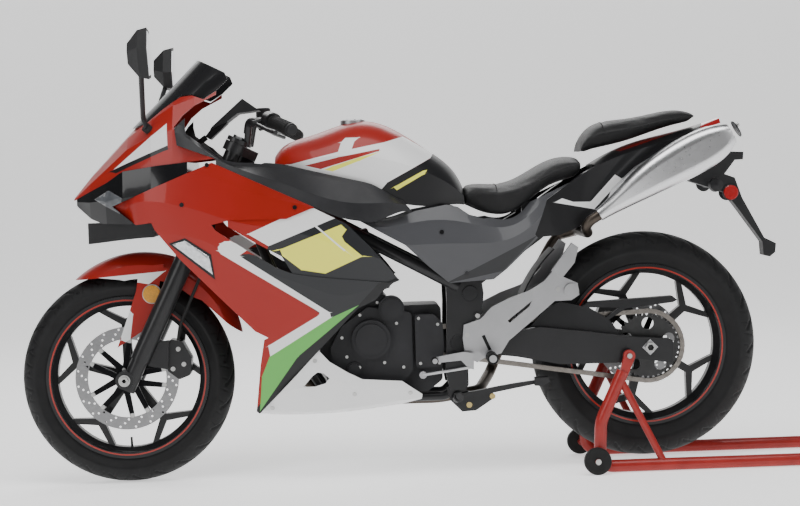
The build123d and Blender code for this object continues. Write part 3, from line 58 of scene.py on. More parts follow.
# ---- Floor, backdrop and lights -----------------------------------------------------------
# A pale studio sweep: flat under the wheels, curved up behind. Broad soft panels light it
# from above and from both ends.
SWEEP_HALF = 14.0
SWEEP_BACK = -9.0
SWEEP_BEND = 3.0


def new_object(name, mesh, material=None, smooth=True):
    """A mesh object at the origin, with one finish."""
    piece = bpy.data.objects.new(name, mesh)
    bpy.context.scene.collection.objects.link(piece)
    if material:
        mesh.materials.append(material)
    if smooth:
        mesh.shade_smooth()
    return piece


sweep_line = [(9.0, 0.0), (SWEEP_BACK + SWEEP_BEND, 0.0)]
for step in range(1, 13):
    turn = radians(90 * step / 12)
    sweep_line.append((SWEEP_BACK + SWEEP_BEND - SWEEP_BEND * sin(turn), SWEEP_BEND * (1 - cos(turn))))
sweep_line.append((SWEEP_BACK, 9.0))
mesh = bpy.data.meshes.new("studio_sweep")
points = [(x, y, z - 0.0006) for y, z in sweep_line for x in (-SWEEP_HALF, SWEEP_HALF)]
mesh.from_pydata(points, [], [(2 * i + 1, 2 * i, 2 * i + 2, 2 * i + 3) for i in range(len(sweep_line) - 1)])
paper = bpy.data.materials.new("studio paper")
paper.use_nodes = True
paper.node_tree.nodes["Principled BSDF"].inputs["Base Color"].default_value = (0.86, 0.86, 0.86, 1)
paper.node_tree.nodes["Principled BSDF"].inputs["Roughness"].default_value = 0.85
paper.node_tree.nodes["Principled BSDF"].inputs["Emission Color"].default_value = (1, 1, 1, 1)
paper.node_tree.nodes["Principled BSDF"].inputs["Emission Strength"].default_value = 0.75
new_object("studio_sweep", mesh, paper)

world = bpy.data.worlds.new("studio")
bpy.context.scene.world = world
world.use_nodes = True
world.node_tree.nodes["Background"].inputs["Color"].default_value = (1, 1, 1, 1)
world.node_tree.nodes["Background"].inputs["Strength"].default_value = 0.12
panels = (  # name, place, aim, width, height, watts
    ("overhead panel", (0.2, 1.4, 4.2), (0, 0, 0.5), 4.5, 2.4, 150),
    ("front panel", (3.6, 3.2, 2.2), (0.2, 0, 0.6), 2.2, 2.2, 60),
    ("rear panel", (-3.8, 2.6, 2.4), (-0.2, 0, 0.6), 2.2, 2.2, 55),
    ("back panel", (0.4, -3.2, 3.2), (0, 0, 0.6), 3.5, 1.6, 55),
)
for name, place, aim, width, height, watts in panels:
    light = bpy.data.lights.new(name, "AREA")
    light.shape, light.size, light.size_y, light.energy = "RECTANGLE", width, height, watts
    panel = bpy.data.objects.new(name, light)
    panel.matrix_world = (Vector(aim) - Vector(place)).to_track_quat("-Z", "Y").to_matrix().to_4x4()
    panel.location = place
    bpy.context.scene.collection.objects.link(panel)

# ---- Painted body panels --------------------------------------------------------------------
# Injection-moulded panels in gloss red and white under clear coat, with cut vinyl graphics in
# white, green, yellow and black laid on before the coat, and a painted highlight: a thin white line
# along the centre panel's crease. They screw to the frame and each other.
MM = 0.001
RED = (0.30, 0.013, 0.008)
WHITE = (0.80, 0.80, 0.80)
BLACK = (0.010, 0.010, 0.011)
CHARCOAL = (0.022, 0.023, 0.025)
GREEN = (0.12, 0.42, 0.085)
YELLOW = (0.84, 0.82, 0.10)


def finish(name, colour, roughness, metallic=0.0, coat=0.0, mottle=(9.0, 0.10), bump=(400.0, 0.15, 0.0002),
           wear=0.08, graphics_and_highlights=(), alpha=None):
    """Node finish: colour that varies a little, cut graphics and painted highlights on it, uneven gloss, a fine
    surface.
    """
    material = bpy.data.materials.new(name)
    material.use_nodes = True
    tree = material.node_tree
    shader = tree.nodes["Principled BSDF"]
    shader.inputs["Metallic"].default_value = metallic
    shader.inputs["Specular IOR Level"].default_value = 0.5 if metallic else 0.22
    shader.inputs["Coat Weight"].default_value = coat
    shader.inputs["Coat Roughness"].default_value = 0.04
    coord = tree.nodes.new("ShaderNodeTexCoord").outputs["Object"]

    def noise(scale, detail):
        node = tree.nodes.new("ShaderNodeTexNoise")
        node.inputs["Scale"].default_value = scale
        node.inputs["Detail"].default_value = detail
        tree.links.new(coord, node.inputs["Vector"])
        return node.outputs["Fac"]

    def blended(mask, low, high):
        node = tree.nodes.new("ShaderNodeMix")
        node.data_type = "RGBA"
        tree.links.new(mask, node.inputs[0])
        for socket, value in ((node.inputs[6], low), (node.inputs[7], high)):
            if isinstance(value, tuple):
                socket.default_value = (*value, 1)
            else:
                tree.links.new(value, socket)
        return node.outputs[2]

    def sum_of(operation, a, b):
        node = tree.nodes.new("ShaderNodeMath")
        node.operation = operation
        for socket, value in zip(node.inputs, (a, b)):
            if isinstance(value, (int, float)):
                socket.default_value = value
            else:
                tree.links.new(value, socket)
        return node.outputs[0]

    def inside(outline):
        """1 within a side-view outline in millimetres, 0 outside, with a soft edge of half a millimetre."""
        area = None
        rim = {frozenset((i, (i + 1) % len(outline))) for i in range(len(outline))}
        for corners in tessellate_polygon([[Vector((x, z, 0)) for x, z in outline]]):
            tri = [outline[i] for i in corners]
            turn = ((tri[1][0] - tri[0][0]) * (tri[2][1] - tri[0][1])
                    - (tri[1][1] - tri[0][1]) * (tri[2][0] - tri[0][0]))
            if abs(turn) < 1:
                continue
            order = corners if turn > 0 else corners[::-1]
            depth = None
            for i in range(3):
                a, b = order[i], order[(i + 1) % 3]
                (ax, az), (bx, bz) = outline[a], outline[b]
                run = hypot(bx - ax, bz - az)
                nx, nz = -(bz - az) / run, (bx - ax) / run
                dot = tree.nodes.new("ShaderNodeVectorMath")
                dot.operation = "DOT_PRODUCT"
                tree.links.new(coord, dot.inputs[0])
                dot.inputs[1].default_value = (nx, 0, nz)
                shift = (nx * ax + nz * az - (0 if frozenset((a, b)) in rim else 1.0)) * MM
                away = sum_of("SUBTRACT", dot.outputs["Value"], shift)
                depth = away if depth is None else sum_of("MINIMUM", depth, away)
            area = depth if area is None else sum_of("MAXIMUM", area, depth)
        soft = tree.nodes.new("ShaderNodeMapRange")
        soft.inputs["From Min"].default_value = -0.25 * MM
        soft.inputs["From Max"].default_value = 0.25 * MM
        tree.links.new(area, soft.inputs["Value"])
        return soft.outputs["Result"]

    cloud = noise(mottle[0], 3.0)
    dark = tuple(c * (1 - mottle[1]) for c in colour)
    pale = tuple(min(c * (1 + mottle[1]) + mottle[1] * 0.01, 1) for c in colour)
    result = blended(cloud, dark, pale)
    for tint, outlines in graphics_and_highlights:
        for outline in outlines:
            result = blended(inside(outline), result, tint)
    tree.links.new(result, shader.inputs["Base Color"])
    sheen = tree.nodes.new("ShaderNodeMapRange")
    sheen.inputs["To Min"].default_value = max(roughness - wear, 0.02)
    sheen.inputs["To Max"].default_value = min(roughness + wear, 1)
    tree.links.new(noise(mottle[0] * 5, 4.0), sheen.inputs["Value"])
    tree.links.new(sheen.outputs["Result"], shader.inputs["Roughness"])
    relief = tree.nodes.new("ShaderNodeBump")
    relief.inputs["Strength"].default_value = bump[1]
    relief.inputs["Distance"].default_value = bump[2]
    tree.links.new(noise(bump[0], 2.0), relief.inputs["Height"])
    tree.links.new(relief.outputs["Normal"], shader.inputs["Normal"])
    if alpha is not None:
        shader.inputs["Alpha"].default_value = alpha
    return material


def dress(material, *nodes):
    """Gives CAD pieces a finish."""
    for name in nodes:
        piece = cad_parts[name]
        if not piece.material_slots:
            piece.data.materials.append(material)
        for place in piece.material_slots:
            place.material = material


def gloss(name, colour, graphics_and_highlights=()):
    """Painted plastic under clear coat."""
    return finish(name, colour, 0.36, coat=0.22, mottle=(6.0, 0.05), bump=(900.0, 0.04, 0.0001), wear=0.05,
                  graphics_and_highlights=graphics_and_highlights)


fairing_graphics = (
    (CHARCOAL, ([(529, 626), (519, 632), (501, 632), (400, 600), (300, 580), (182, 565), (80, 570),
                 (150, 470), (295, 445)],)),
    (BLACK, ([(160, 540), (100, 552), (90, 530), (216, 466), (318, 360), (404, 270), (500, 180), (506, 200),
              (384, 346), (216, 482)],)),
    (WHITE, ([(577, 634), (584, 643), (584, 653), (577, 662), (566, 668), (550, 668), (503, 645), (529, 628),
              (293, 466), (290, 452), (458, 350), (462, 380), (322, 460), (320, 468)],)),
    (GREEN, ([(291, 451), (214, 483), (384, 346), (493, 196), (483, 294), (460, 349)],)),
)
mid_graphics_and_crease_highlight = (
    (CHARCOAL, ([(450, 651), (310, 768), (200, 760), (40, 560), (40, 480), (390, 480), (480, 590)],)),
    (WHITE, ([(504, 685), (345, 753), (310, 768), (270, 720), (450, 651)],)),
    (YELLOW, ([(420, 641), (255, 702), (241, 688), (254, 670), (247, 656), (200, 615), (301, 572), (365, 584),
               (414, 624)],)),
    # A thin white line along the panel's crease: a painted highlight where the crease catches the light.
    (WHITE, ([(324, 699), (320, 701), (246, 633), (249, 630)],)),
)
nose_graphics = (
    (BLACK, ([(880, 862), (714, 931), (712, 918), (860, 858)],)),
    (WHITE, ([(868, 868), (716, 988), (714, 928)],)),
)
tank_graphics = (
    (WHITE, ([(397, 862), (391, 867), (257, 897), (129, 920), (77, 935), (-6, 887), (3, 874), (126, 810),
               (129, 784), (157, 785), (307, 833), (398, 848)],
              [(257, 897), (248, 923), (236, 935), (198, 935), (212, 924), (220, 903)],)),
    (RED, ([(348, 863), (258, 882), (143, 902), (146, 896), (306, 852)],)),
    (BLACK, ([(-7, 889), (-99, 801), (-97, 721), (103, 727), (149, 785), (126, 810), (4, 873)],)),
    (YELLOW, ([(296, 850), (273, 845), (198, 872), (142, 894), (202, 880), (274, 858)],
              [(109, 797), (101, 788), (24, 830), (16, 841), (28, 839)],)),
)
fender_graphics = (
    (WHITE, ([(925, 573), (742, 586), (788, 551), (812, 556)],
             [(868, 512), (869, 400), (846, 388), (834, 470)])),
)
dress(gloss("fairing paint", RED, fairing_graphics), "fairing_left", "fairing_right")
dress(gloss("centre panel paint", RED, mid_graphics_and_crease_highlight), "mid_panel_left", "mid_panel_right")
dress(gloss("nose paint", RED, nose_graphics), "nose_cowl")
dress(gloss("tank paint", RED, tank_graphics), "fuel_tank")
dress(gloss("fender paint", RED, fender_graphics), "front_fender")
dress(gloss("belly paint", WHITE), "belly_pan_left", "belly_pan_right")
tail_graphics = (
    (WHITE, ([(-330, 742), (-350, 752), (-440, 720), (-520, 800), (-500, 812), (-430, 740)],)),
    (RED, ([(-480, 880), (-520, 876), (-600, 900), (-735, 940), (-741, 955), (-489, 894)],)),
)
dress(gloss("tail paint", BLACK, tail_graphics), "tail_cowl")

# ---- Unpainted plastic -----------------------------------------------------------------------
# Grained black and charcoal mouldings: chin, knee trims, side covers, guards, plate holder and
# mirror shells, clipped and screwed on as moulded.
grained = finish("grained black plastic", (0.017, 0.017, 0.018), 0.50, mottle=(20, 0.2),
                 bump=(1400, 0.35, 0.0003))
dress(grained, "chin_cowl", "plate_holder", "chain_guard", "rear_hugger", "instrument_cluster",
      "mirror_left", "mirror_right")
dress(finish("woven look black plastic", (0.020, 0.020, 0.022), 0.42, mottle=(30, 0.25),
             bump=(900, 0.5, 0.0004)), "knee_trim_left", "knee_trim_right")
cover_graphics = ((tuple(c * 0.75 for c in CHARCOAL), ([(-20, 530), (-280, 655), (-180, 560)],)),)
dress(finish("charcoal satin plastic", (0.060, 0.061, 0.066), 0.36, coat=0.25, mottle=(8, 0.12),
             bump=(1200, 0.12, 0.0002), graphics_and_highlights=cover_graphics), "side_cover_left", "side_cover_right")

# ---- Screen and lamps ------------------------------------------------------------------------
# Smoked acrylic screen, a lamp housing in one dark glossy piece, and a red rear lens. Each is
# a single moulding in one finish.
smoke = finish("smoked acrylic", (0.012, 0.012, 0.013), 0.22, coat=0.2, mottle=(4, 0.05),
               bump=(50, 0.02, 0.0001), wear=0.02)
dress(smoke, "windscreen")
dress(finish("black lamp glass", (0.006, 0.006, 0.007), 0.14, coat=0.3, mottle=(6, 0.05),
             bump=(60, 0.03, 0.0001), wear=0.02), "headlamp")
dress(finish("red lens", (0.30, 0.006, 0.006), 0.10, coat=1.0, mottle=(40, 0.15), bump=(240, 0.5, 0.0006),
             wear=0.03), "tail_lamp")

# ---- Frame, engine and running gear ------------------------------------------------------------
# Welded steel tube and pressed steel arm in satin black, a black-painted aluminium engine,
# bare cast footrests, pedals and cap, satin silencers, heat-stained pipes, ground steel discs
# with black carriers, an oiled chain, black rubber and a red stand.
satin = finish("satin black paint", (0.014, 0.014, 0.015), 0.36, coat=0.2, mottle=(14, 0.2),
               bump=(600, 0.15, 0.0002))
dress(satin, "main_frame", "swingarm", "triple_clamps", "handlebars", "front_caliper", "rear_caliper",
      "side_stand", "fork_leg_left", "fork_leg_right", "front_rim", "rear_rim")
dress(finish("engine paint", (0.024, 0.024, 0.026), 0.45, mottle=(18, 0.3), bump=(700, 0.5, 0.0004)),
      "crankcase", "cylinder", "sprocket_cover")
cast = finish("bead-blasted aluminium", (0.46, 0.46, 0.47), 0.38, metallic=1.0, mottle=(25, 0.1),
              bump=(900, 0.4, 0.0003))
dress(cast, "footrest_left", "footrest_right", "gear_lever", "brake_pedal", "fuel_cap")
brushed = finish("satin silencer skin", (0.70, 0.70, 0.71), 0.30, metallic=1.0, mottle=(30, 0.06),
                 bump=(1600, 0.25, 0.0002))
dress(brushed, "muffler_left", "muffler_right")
dress(finish("heat-stained steel", (0.075, 0.062, 0.052), 0.42, metallic=1.0, mottle=(22, 0.45),
             bump=(500, 0.3, 0.0003), wear=0.15), "exhaust_pipes")
steel = finish("plain steel", (0.50, 0.50, 0.49), 0.32, metallic=1.0, mottle=(30, 0.1), bump=(900, 0.2, 0.0002))
dress(steel, "front_axle")
for node, centre_x, centre_z, carrier in (("front_disc", 858, 293, 99), ("rear_disc", -580, 337, 76)):
    rim_line = [(centre_x + carrier * cos(pi * k / 8), centre_z + carrier * sin(pi * k / 8)) for k in range(16)]
    dress(finish("ground steel of the " + node, (0.27, 0.27, 0.275), 0.34, metallic=1.0, mottle=(60, 0.12),
                 bump=(2200, 0.25, 0.0002), wear=0.1, graphics_and_highlights=((BLACK, (rim_line,)),)), node)
chain_steel = finish("oiled chain steel", (0.24, 0.22, 0.20), 0.34, metallic=1.0, mottle=(80, 0.3),
                     bump=(700, 0.3, 0.0003), wear=0.15)
dress(chain_steel, "chain")
dress(finish("blackened sprocket steel", (0.05, 0.05, 0.05), 0.40, metallic=0.8, mottle=(60, 0.25),
             bump=(900, 0.3, 0.0003)), "rear_sprocket")
rubber = finish("black rubber", (0.012, 0.012, 0.012), 0.62, mottle=(40, 0.25), bump=(900, 0.5, 0.0004))
dress(rubber, "grips", "brake_hose", "stand_roller_left", "stand_roller_right", "front_tyre", "rear_tyre")
dress(rubber, "rider_seat", "passenger_seat")
dress(finish("chipped red stand paint", (0.30, 0.020, 0.016), 0.38, coat=0.3, mottle=(26, 0.25),
             bump=(300, 0.4, 0.0005), wear=0.15), "paddock_stand")

# ---- Wheels -------------------------------------------------------------------------------
# Road tyres with slanted rain grooves in a round crown and two raised rings on each wall, on
# cast rims with a red pinstripe. Each disc has five hub bolts and ten buttons on its carrier.
LEFT_AND_RIGHT = (1, -1)


def place_on(piece, body):
    """Fixes a finished piece to its body."""
    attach(piece, body)
    return piece


def turned(mesh_data, centre, axis, profile, steps=40):
    """Adds a closed lathe form: the profile is (along, radius) in metres round an axis through the centre."""
    turn = Vector((0, 0, 1)).rotation_difference(Vector(axis).normalized()).to_matrix()
    start = len(mesh_data[0])
    count = len(profile)
    for step in range(steps):
        angle = 2 * pi * step / steps
        for along, radius in profile:
            spot = turn @ Vector((radius * cos(angle), radius * sin(angle), along))
            mesh_data[0].append(tuple(Vector(centre) + spot))
    for step in range(steps):
        for i in range(count):
            a, b = start + step * count + i, start + step * count + (i + 1) % count
            c, d = start + (step + 1) % steps * count + i, start + (step + 1) % steps * count + (i + 1) % count
            mesh_data[1].append((a, c, d, b))


def disc_profile(radius, thickness, bevel=0.0008):
    """Closed profile of a bevelled disc that starts at the centre line."""
    return [(0, 0.00005), (0, radius), (thickness - bevel, radius), (thickness, radius - bevel),
            (thickness, 0.00005)]


def ring_profile(inner, outer, low, high):
    """Closed profile of a flat ring."""
    return [(low, inner), (low, outer), (high, outer), (high, inner)]


def finished(name, mesh_data, material, body, smooth=False):
    """Turns collected corners and faces into one closed piece with its faces outward."""
    mesh = bpy.data.meshes.new(name)
    mesh.from_pydata(mesh_data[0], [], mesh_data[1])
    work = bmesh.new()
    work.from_mesh(mesh)
    bmesh.ops.remove_doubles(work, verts=work.verts, dist=0.0002)
    bmesh.ops.recalc_face_normals(work, faces=work.faces)
    work.to_mesh(mesh)
    work.free()
    piece = new_object(name, mesh, material, smooth=False)
    if smooth:
        mesh.shade_smooth()
    return place_on(piece, body)


# Screw heads: one socket head on each point, turned to the point's "facing" direction.
heads = bpy.data.node_groups.new("screw heads", "GeometryNodeTree")
heads.interface.new_socket("Geometry", in_out="INPUT", socket_type="NodeSocketGeometry")
for label in ("Head radius", "Head height"):
    heads.interface.new_socket(label, in_out="INPUT", socket_type="NodeSocketFloat")
heads.interface.new_socket("Finish", in_out="INPUT", socket_type="NodeSocketMaterial")
heads.interface.new_socket("Geometry", in_out="OUTPUT", socket_type="NodeSocketGeometry")


def add_node(kind, **inputs):
    """A node in the screw tree with its inputs linked or set."""
    node = heads.nodes.new(kind)
    for label, value in inputs.items():
        socket = node.inputs[label.replace("_", " ")]
        if isinstance(value, bpy.types.NodeSocket):
            heads.links.new(value, socket)
        else:
            socket.default_value = value
    return node


start = heads.nodes.new("NodeGroupInput")
drum = add_node("GeometryNodeMeshCylinder", Vertices=14, Radius=start.outputs["Head radius"],
                Depth=start.outputs["Head height"])
share = add_node("ShaderNodeMath")
share.operation = "MULTIPLY"
heads.links.new(start.outputs["Head radius"], share.inputs[0])
share.inputs[1].default_value = 0.52
key = add_node("GeometryNodeMeshCylinder", Vertices=6, Radius=share.outputs[0],
               Depth=start.outputs["Head height"])
lift_key = add_node("ShaderNodeCombineXYZ")
heads.links.new(share.outputs[0], lift_key.inputs["Z"])
raised = add_node("GeometryNodeTransform", Geometry=key.outputs["Mesh"], Translation=lift_key.outputs[0])
bore = heads.nodes.new("GeometryNodeMeshBoolean")
bore.operation = "DIFFERENCE"
heads.links.new(drum.outputs["Mesh"], bore.inputs["Mesh 1"])
heads.links.new(raised.outputs["Geometry"], bore.inputs["Mesh 2"])
facing = heads.nodes.new("GeometryNodeInputNamedAttribute")
facing.data_type = "FLOAT_VECTOR"
facing.inputs["Name"].default_value = "facing"
aim = heads.nodes.new("FunctionNodeAlignRotationToVector")
aim.axis = "Z"
heads.links.new(facing.outputs["Attribute"], aim.inputs["Vector"])
spread = add_node("GeometryNodeInstanceOnPoints", Points=start.outputs["Geometry"],
                  Instance=bore.outputs["Mesh"], Rotation=aim.outputs["Rotation"])
whole = add_node("GeometryNodeRealizeInstances", Geometry=spread.outputs["Instances"])
coated = add_node("GeometryNodeSetMaterial", Geometry=whole.outputs["Geometry"],
                  Material=start.outputs["Finish"])
end = heads.nodes.new("NodeGroupOutput")
heads.links.new(coated.outputs["Geometry"], end.inputs["Geometry"])


def repeated(name, tree, places, settings, body, smooth=False):
    """Runs a node tree on points with facings and keeps its result as a plain mesh on one body."""
    cloud = bpy.data.meshes.new(name + "_points")
    cloud.from_pydata([tuple(spot) for spot, _ in places], [], [])
    cloud.attributes.new("facing", "FLOAT_VECTOR", "POINT").data.foreach_set(
        "vector", [c for _, way in places for c in Vector(way).normalized()])
    seed = bpy.data.objects.new(name + "_points", cloud)
    bpy.context.scene.collection.objects.link(seed)
    modifier = seed.modifiers.new("repeat", "NODES")
    modifier.node_group = tree
    for item in tree.interface.items_tree:
        if item.in_out == "INPUT" and item.name in settings:
            modifier[item.identifier] = settings[item.name]
    seen = bpy.context.evaluated_depsgraph_get()
    mesh = bpy.data.meshes.new_from_object(seed.evaluated_get(seen))
    bpy.data.objects.remove(seed)
    mesh.name = name
    piece = bpy.data.objects.new(name, mesh)
    bpy.context.scene.collection.objects.link(piece)
    return place_on(piece, body)


def screws(name, places, radius, height, material, body):
    """Screw heads on points, radius and height in millimetres."""
    return repeated(name, heads, places, {"Head radius": radius * MM, "Head height": height * MM,
                                          "Finish": material}, body)


FRONT_AXLE_X, FRONT_AXLE_Z = 0.858, 0.293
FRONT_AXLE = Vector((FRONT_AXLE_X, 0, FRONT_AXLE_Z))
REAR_AXLE = Vector((-0.580, 0, 0.337))
BEAD = 0.216
GROOVE_DEPTH, SIPE_DEPTH, WALL_RING = 0.0042, 0.0022, 0.0007
tread_rubber = finish("road tyre rubber", (0.0085, 0.0085, 0.009), 0.55, mottle=(30, 0.3),
                      bump=(800, 0.4, 0.0004))
RED_LINE = finish("red pinstripe", (0.33, 0.02, 0.012), 0.32, coat=0.5)


def road_tyre(name, node, body, axle, width, radius, grooves):
    """One tyre carcass with its tread grooves sunk in the mesh."""
    half, bead_half, wall = width / 2, width / 2 * 0.74, 0.009
    lip = BEAD + 0.011
    widest = BEAD + (radius - BEAD) * 0.46
    centre_z = (radius ** 2 - widest ** 2 - half ** 2) / (2 * (radius - widest))
    crown = radius - centre_z
    limit = atan2(half, widest - centre_z)
    line = [(-bead_half, BEAD), (-bead_half, lip)]
    for i in range(1, 5):
        share = i / 5
        line.append((-bead_half - (half - bead_half) * share, lip + (widest - lip) * share))
    crown_start = len(line)
    for i in range(37):
        turn = -limit + 2 * limit * i / 36
        line.append((crown * sin(turn), centre_z + crown * cos(turn)))
    crown_end = len(line)
    line += [(-y, r) for y, r in reversed(line[:crown_start])]
    inner = [(bead_half - wall, BEAD), (half - wall, widest), ((half - wall) * 0.6, radius - wall - 0.008),
             (0, radius - wall), (-(half - wall) * 0.6, radius - wall - 0.008), (wall - half, widest),
             (wall - bead_half, BEAD)]
    line += inner
    steps = 700
    corners = []
    for step in range(steps):
        angle = 2 * pi * step / steps
        for i, (y, r) in enumerate(line):
            depth = 0.0
            if crown_start <= i < crown_end:
                share = abs(y) / half
                phase = (angle * grooves / (2 * pi) - share * 1.1 + (0.5 if y > 0 else 0)) % 1
                if 0.10 < share < 0.80 and phase < 0.13:
                    depth = GROOVE_DEPTH
                fine = (angle * grooves * 2 / (2 * pi) + share * 0.9) % 1
                if 0.62 < share < 0.93 and fine < 0.10:
                    depth = SIPE_DEPTH
            elif i in (crown_start - 1, crown_end) or i in (crown_start - 3, crown_end + 2):
                depth = -WALL_RING
            rr = r - depth
            corners.append((rr * cos(angle), y, rr * sin(angle)))
    count = len(line)
    faces = [(s * count + i, ((s + 1) % steps) * count + i, ((s + 1) % steps) * count + (i + 1) % count,
              s * count + (i + 1) % count) for s in range(steps) for i in range(count)]
    placed = [tuple(Vector(c) + axle) for c in corners]
    tyre = finished(name, (placed, faces), tread_rubber, body, True)
    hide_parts(node)


road_tyre("front_road_tyre", "front_tyre", "front_wheel", FRONT_AXLE, 0.110, 0.293, 26)
road_tyre("rear_road_tyre", "rear_tyre", "rear_wheel", REAR_AXLE, 0.140, 0.314, 28)

for label, body, axle, half in (("front", "front_wheel", FRONT_AXLE, 0.0451),
                                ("rear", "rear_wheel", REAR_AXLE, 0.0562)):
    stripe = ([], [])
    for side in LEFT_AND_RIGHT:
        turned(stripe, axle + Vector((0, side * half, 0)), (0, side, 0),
               ring_profile(0.2125, 0.2165, -0.0003, 0.0005), 120)
    finished(label + "_rim_pinstripe", stripe, RED_LINE, body)

HUB_BOLT_RADIUS = 0.0255
for label, body, axle, y, side, reach in (("front", "front_wheel", FRONT_AXLE, 0.0590, 1, 0.104),
                                          ("rear", "rear_wheel", REAR_AXLE, -0.0810, -1, 0.080)):
    ring = []
    for k in range(5):
        angle = 2 * pi * k / 5
        ring.append((axle + Vector((HUB_BOLT_RADIUS * cos(angle), y, HUB_BOLT_RADIUS * sin(angle))),
                     (0, side, 0)))
    floats = []
    for k in range(10):
        angle = radians(72 * (k // 2) + (24 if k % 2 else -24))
        floats.append((axle + Vector((reach * cos(angle), y, reach * sin(angle))), (0, side, 0)))
    screws(label + "_disc_bolts", ring, 5.0, 4.0, steel, body)
    screws(label + "_disc_buttons", floats, 6.0, 2.4, steel, body)

valve = ([], [])
turned(valve, FRONT_AXLE + Vector((0, 0.004, -0.199)), (0, 0.25, 1), disc_profile(0.0032, 0.030))
finished("front_valve_stem", valve, rubber, "front_wheel")

# ---- Front fork, axle nut, caliper and fender reflector ------------------------------------
# Sliders end in rubber dust seals, the tubes in hexagon caps. A nut and washer stand on each
# axle end, and a round amber reflector in a steel bezel on each fender stalk.
RAKE = radians(26)
FORK_WAY = Vector((-sin(RAKE), 0, cos(RAKE)))
FORK_OFFSET, FORK_HALF_SPACING = 0.014, 0.097
SEAL_HEIGHT, CAP_HEIGHT = 0.640, 0.9395
AXLE_NUT_Y, AXLE_WASHER_Y = 0.1243, 0.1241
fork_foot = Vector((FRONT_AXLE_X - FORK_OFFSET / cos(RAKE), 0, FRONT_AXLE_Z))
seals, caps = ([], []), ([], [])
for side in LEFT_AND_RIGHT:
    rise = SEAL_HEIGHT - FRONT_AXLE_Z
    seal_place = fork_foot + Vector((-rise * tan(RAKE), FORK_HALF_SPACING * side, rise))
    turned(seals, seal_place, FORK_WAY, ring_profile(0.0206, 0.0262, 0.0002, 0.009))
    rise = CAP_HEIGHT - FRONT_AXLE_Z
    cap_place = fork_foot + Vector((-rise * tan(RAKE), FORK_HALF_SPACING * side, rise))
    turned(caps, cap_place, FORK_WAY, disc_profile(0.0165, 0.009), 6)
finished("fork_dust_seals", seals, rubber, "steering")
finished("fork_caps", caps, cast, "steering")
nuts = ([], [])
for side in LEFT_AND_RIGHT:
    turned(nuts, FRONT_AXLE + Vector((0, AXLE_NUT_Y * side, 0)), (0, side, 0),
           ring_profile(0.006, 0.0125, 0, 0.008), 6)
    turned(nuts, FRONT_AXLE + Vector((0, AXLE_WASHER_Y * side, 0)), (0, side, 0),
           ring_profile(0.006, 0.0160, 0, 0.002))
finished("front_axle_nuts", nuts, steel, "steering")
amber = finish("amber reflector", (0.62, 0.27, 0.012), 0.18, coat=1.0, mottle=(300, 0.35),
               bump=(600, 0.9, 0.0008))
discs = ([], [])
backs = ([], [])
for side in LEFT_AND_RIGHT:
    turned(discs, Vector((0.780, 0.0715 * side, 0.524)), (0, side, 0), disc_profile(0.0245, 0.0035, 0.0015))
    turned(backs, Vector((0.780, 0.0677 * side, 0.524)), (0, side, 0), disc_profile(0.0270, 0.0045, 0.001))
finished("fender_reflectors", discs, amber, "steering")
finished("fender_reflector_bezels", backs, steel, "steering")
CALIPER_BOLT_Y = 0.0908
screws("caliper_bolts", [(Vector((x * MM, CALIPER_BOLT_Y, z * MM)), (0, 1, 0))
                         for x, z in ((712, 372), (698, 330), (728, 318))],
       6.5, 4.0, steel, "steering")

# ---- Chain -----------------------------------------------------------------------------------
# A 520 roller chain in one endless loop: pairs of outer and inner plates in turn, joined by
# pins, with rollers between them on the pitch line.
PITCH = 0.015875
CHAIN_SIDE = 0.084
output = Vector((0.015, CHAIN_SIDE, 0.372))
rear_ring = Vector((-0.580, CHAIN_SIDE, 0.337))
big, small = PITCH / 2 / sin(pi / 38), PITCH / 2 / sin(pi / 14)
reach = (output - rear_ring).length
lean = atan2(output.z - rear_ring.z, output.x - rear_ring.x)
open_angle = acos((big - small) / reach)
straight = reach * sin(open_angle)
laps = [straight, small * 2 * open_angle, straight, big * (2 * pi - 2 * open_angle)]
loop_length = sum(laps)
link_count = int(round(loop_length / PITCH / 2)) * 2


def chain_place(along):
    """Point and heading on the chain's pitch line at a distance along it."""
    s = along % loop_length
    up = lean + open_angle
    if s < laps[0]:
        heading = up - pi / 2
        base = rear_ring + Vector((cos(up), 0, sin(up))) * big
        return base + Vector((cos(heading), 0, sin(heading))) * s, heading
    s -= laps[0]
    if s < laps[1]:
        angle = up - s / small
        return output + Vector((cos(angle), 0, sin(angle))) * small, angle - pi / 2
    s -= laps[1]
    down = lean - open_angle
    if s < laps[2]:
        heading = down - pi / 2
        base = output + Vector((cos(down), 0, sin(down))) * small
        return base + Vector((cos(heading), 0, sin(heading))) * s, heading
    s -= laps[2]
    angle = down - s / big
    return rear_ring + Vector((cos(angle), 0, sin(angle))) * big, angle - pi / 2


def link_mesh(name, plate_y, plate, pin_radius, pin_half):
    """Two waisted side plates and a roller or pin at the link's first end."""
    data = ([], [])
    outline = []
    for end_x, base in ((PITCH / 2, -70), (-PITCH / 2, 110)):
        for k in range(5):
            a = radians(base + 35 * k)
            outline.append((end_x + 0.0066 * cos(a), 0.0066 * sin(a)))
    for side in LEFT_AND_RIGHT:
        start = len(data[0])
        for y in (side * plate_y, side * (plate_y + plate)):
            data[0].extend((x, y, z) for x, z in outline)
        n = len(outline)
        data[1].append(tuple(start + i for i in range(n)))
        data[1].append(tuple(start + n + i for i in reversed(range(n))))
        data[1].extend((start + i, start + n + i, start + n + (i + 1) % n, start + (i + 1) % n)
                       for i in range(n))
    for end_x in (PITCH / 2, -PITCH / 2):
        turned(data, (end_x, -pin_half, 0), (0, 1, 0), disc_profile(pin_radius, 2 * pin_half, 0.0003), 8)
    mesh = bpy.data.meshes.new(name)
    mesh.from_pydata(data[0], [], data[1])
    work = bmesh.new()
    work.from_mesh(mesh)
    bmesh.ops.remove_doubles(work, verts=work.verts, dist=0.0001)
    bmesh.ops.recalc_face_normals(work, faces=work.faces)
    work.to_mesh(mesh)
    work.free()
    return mesh


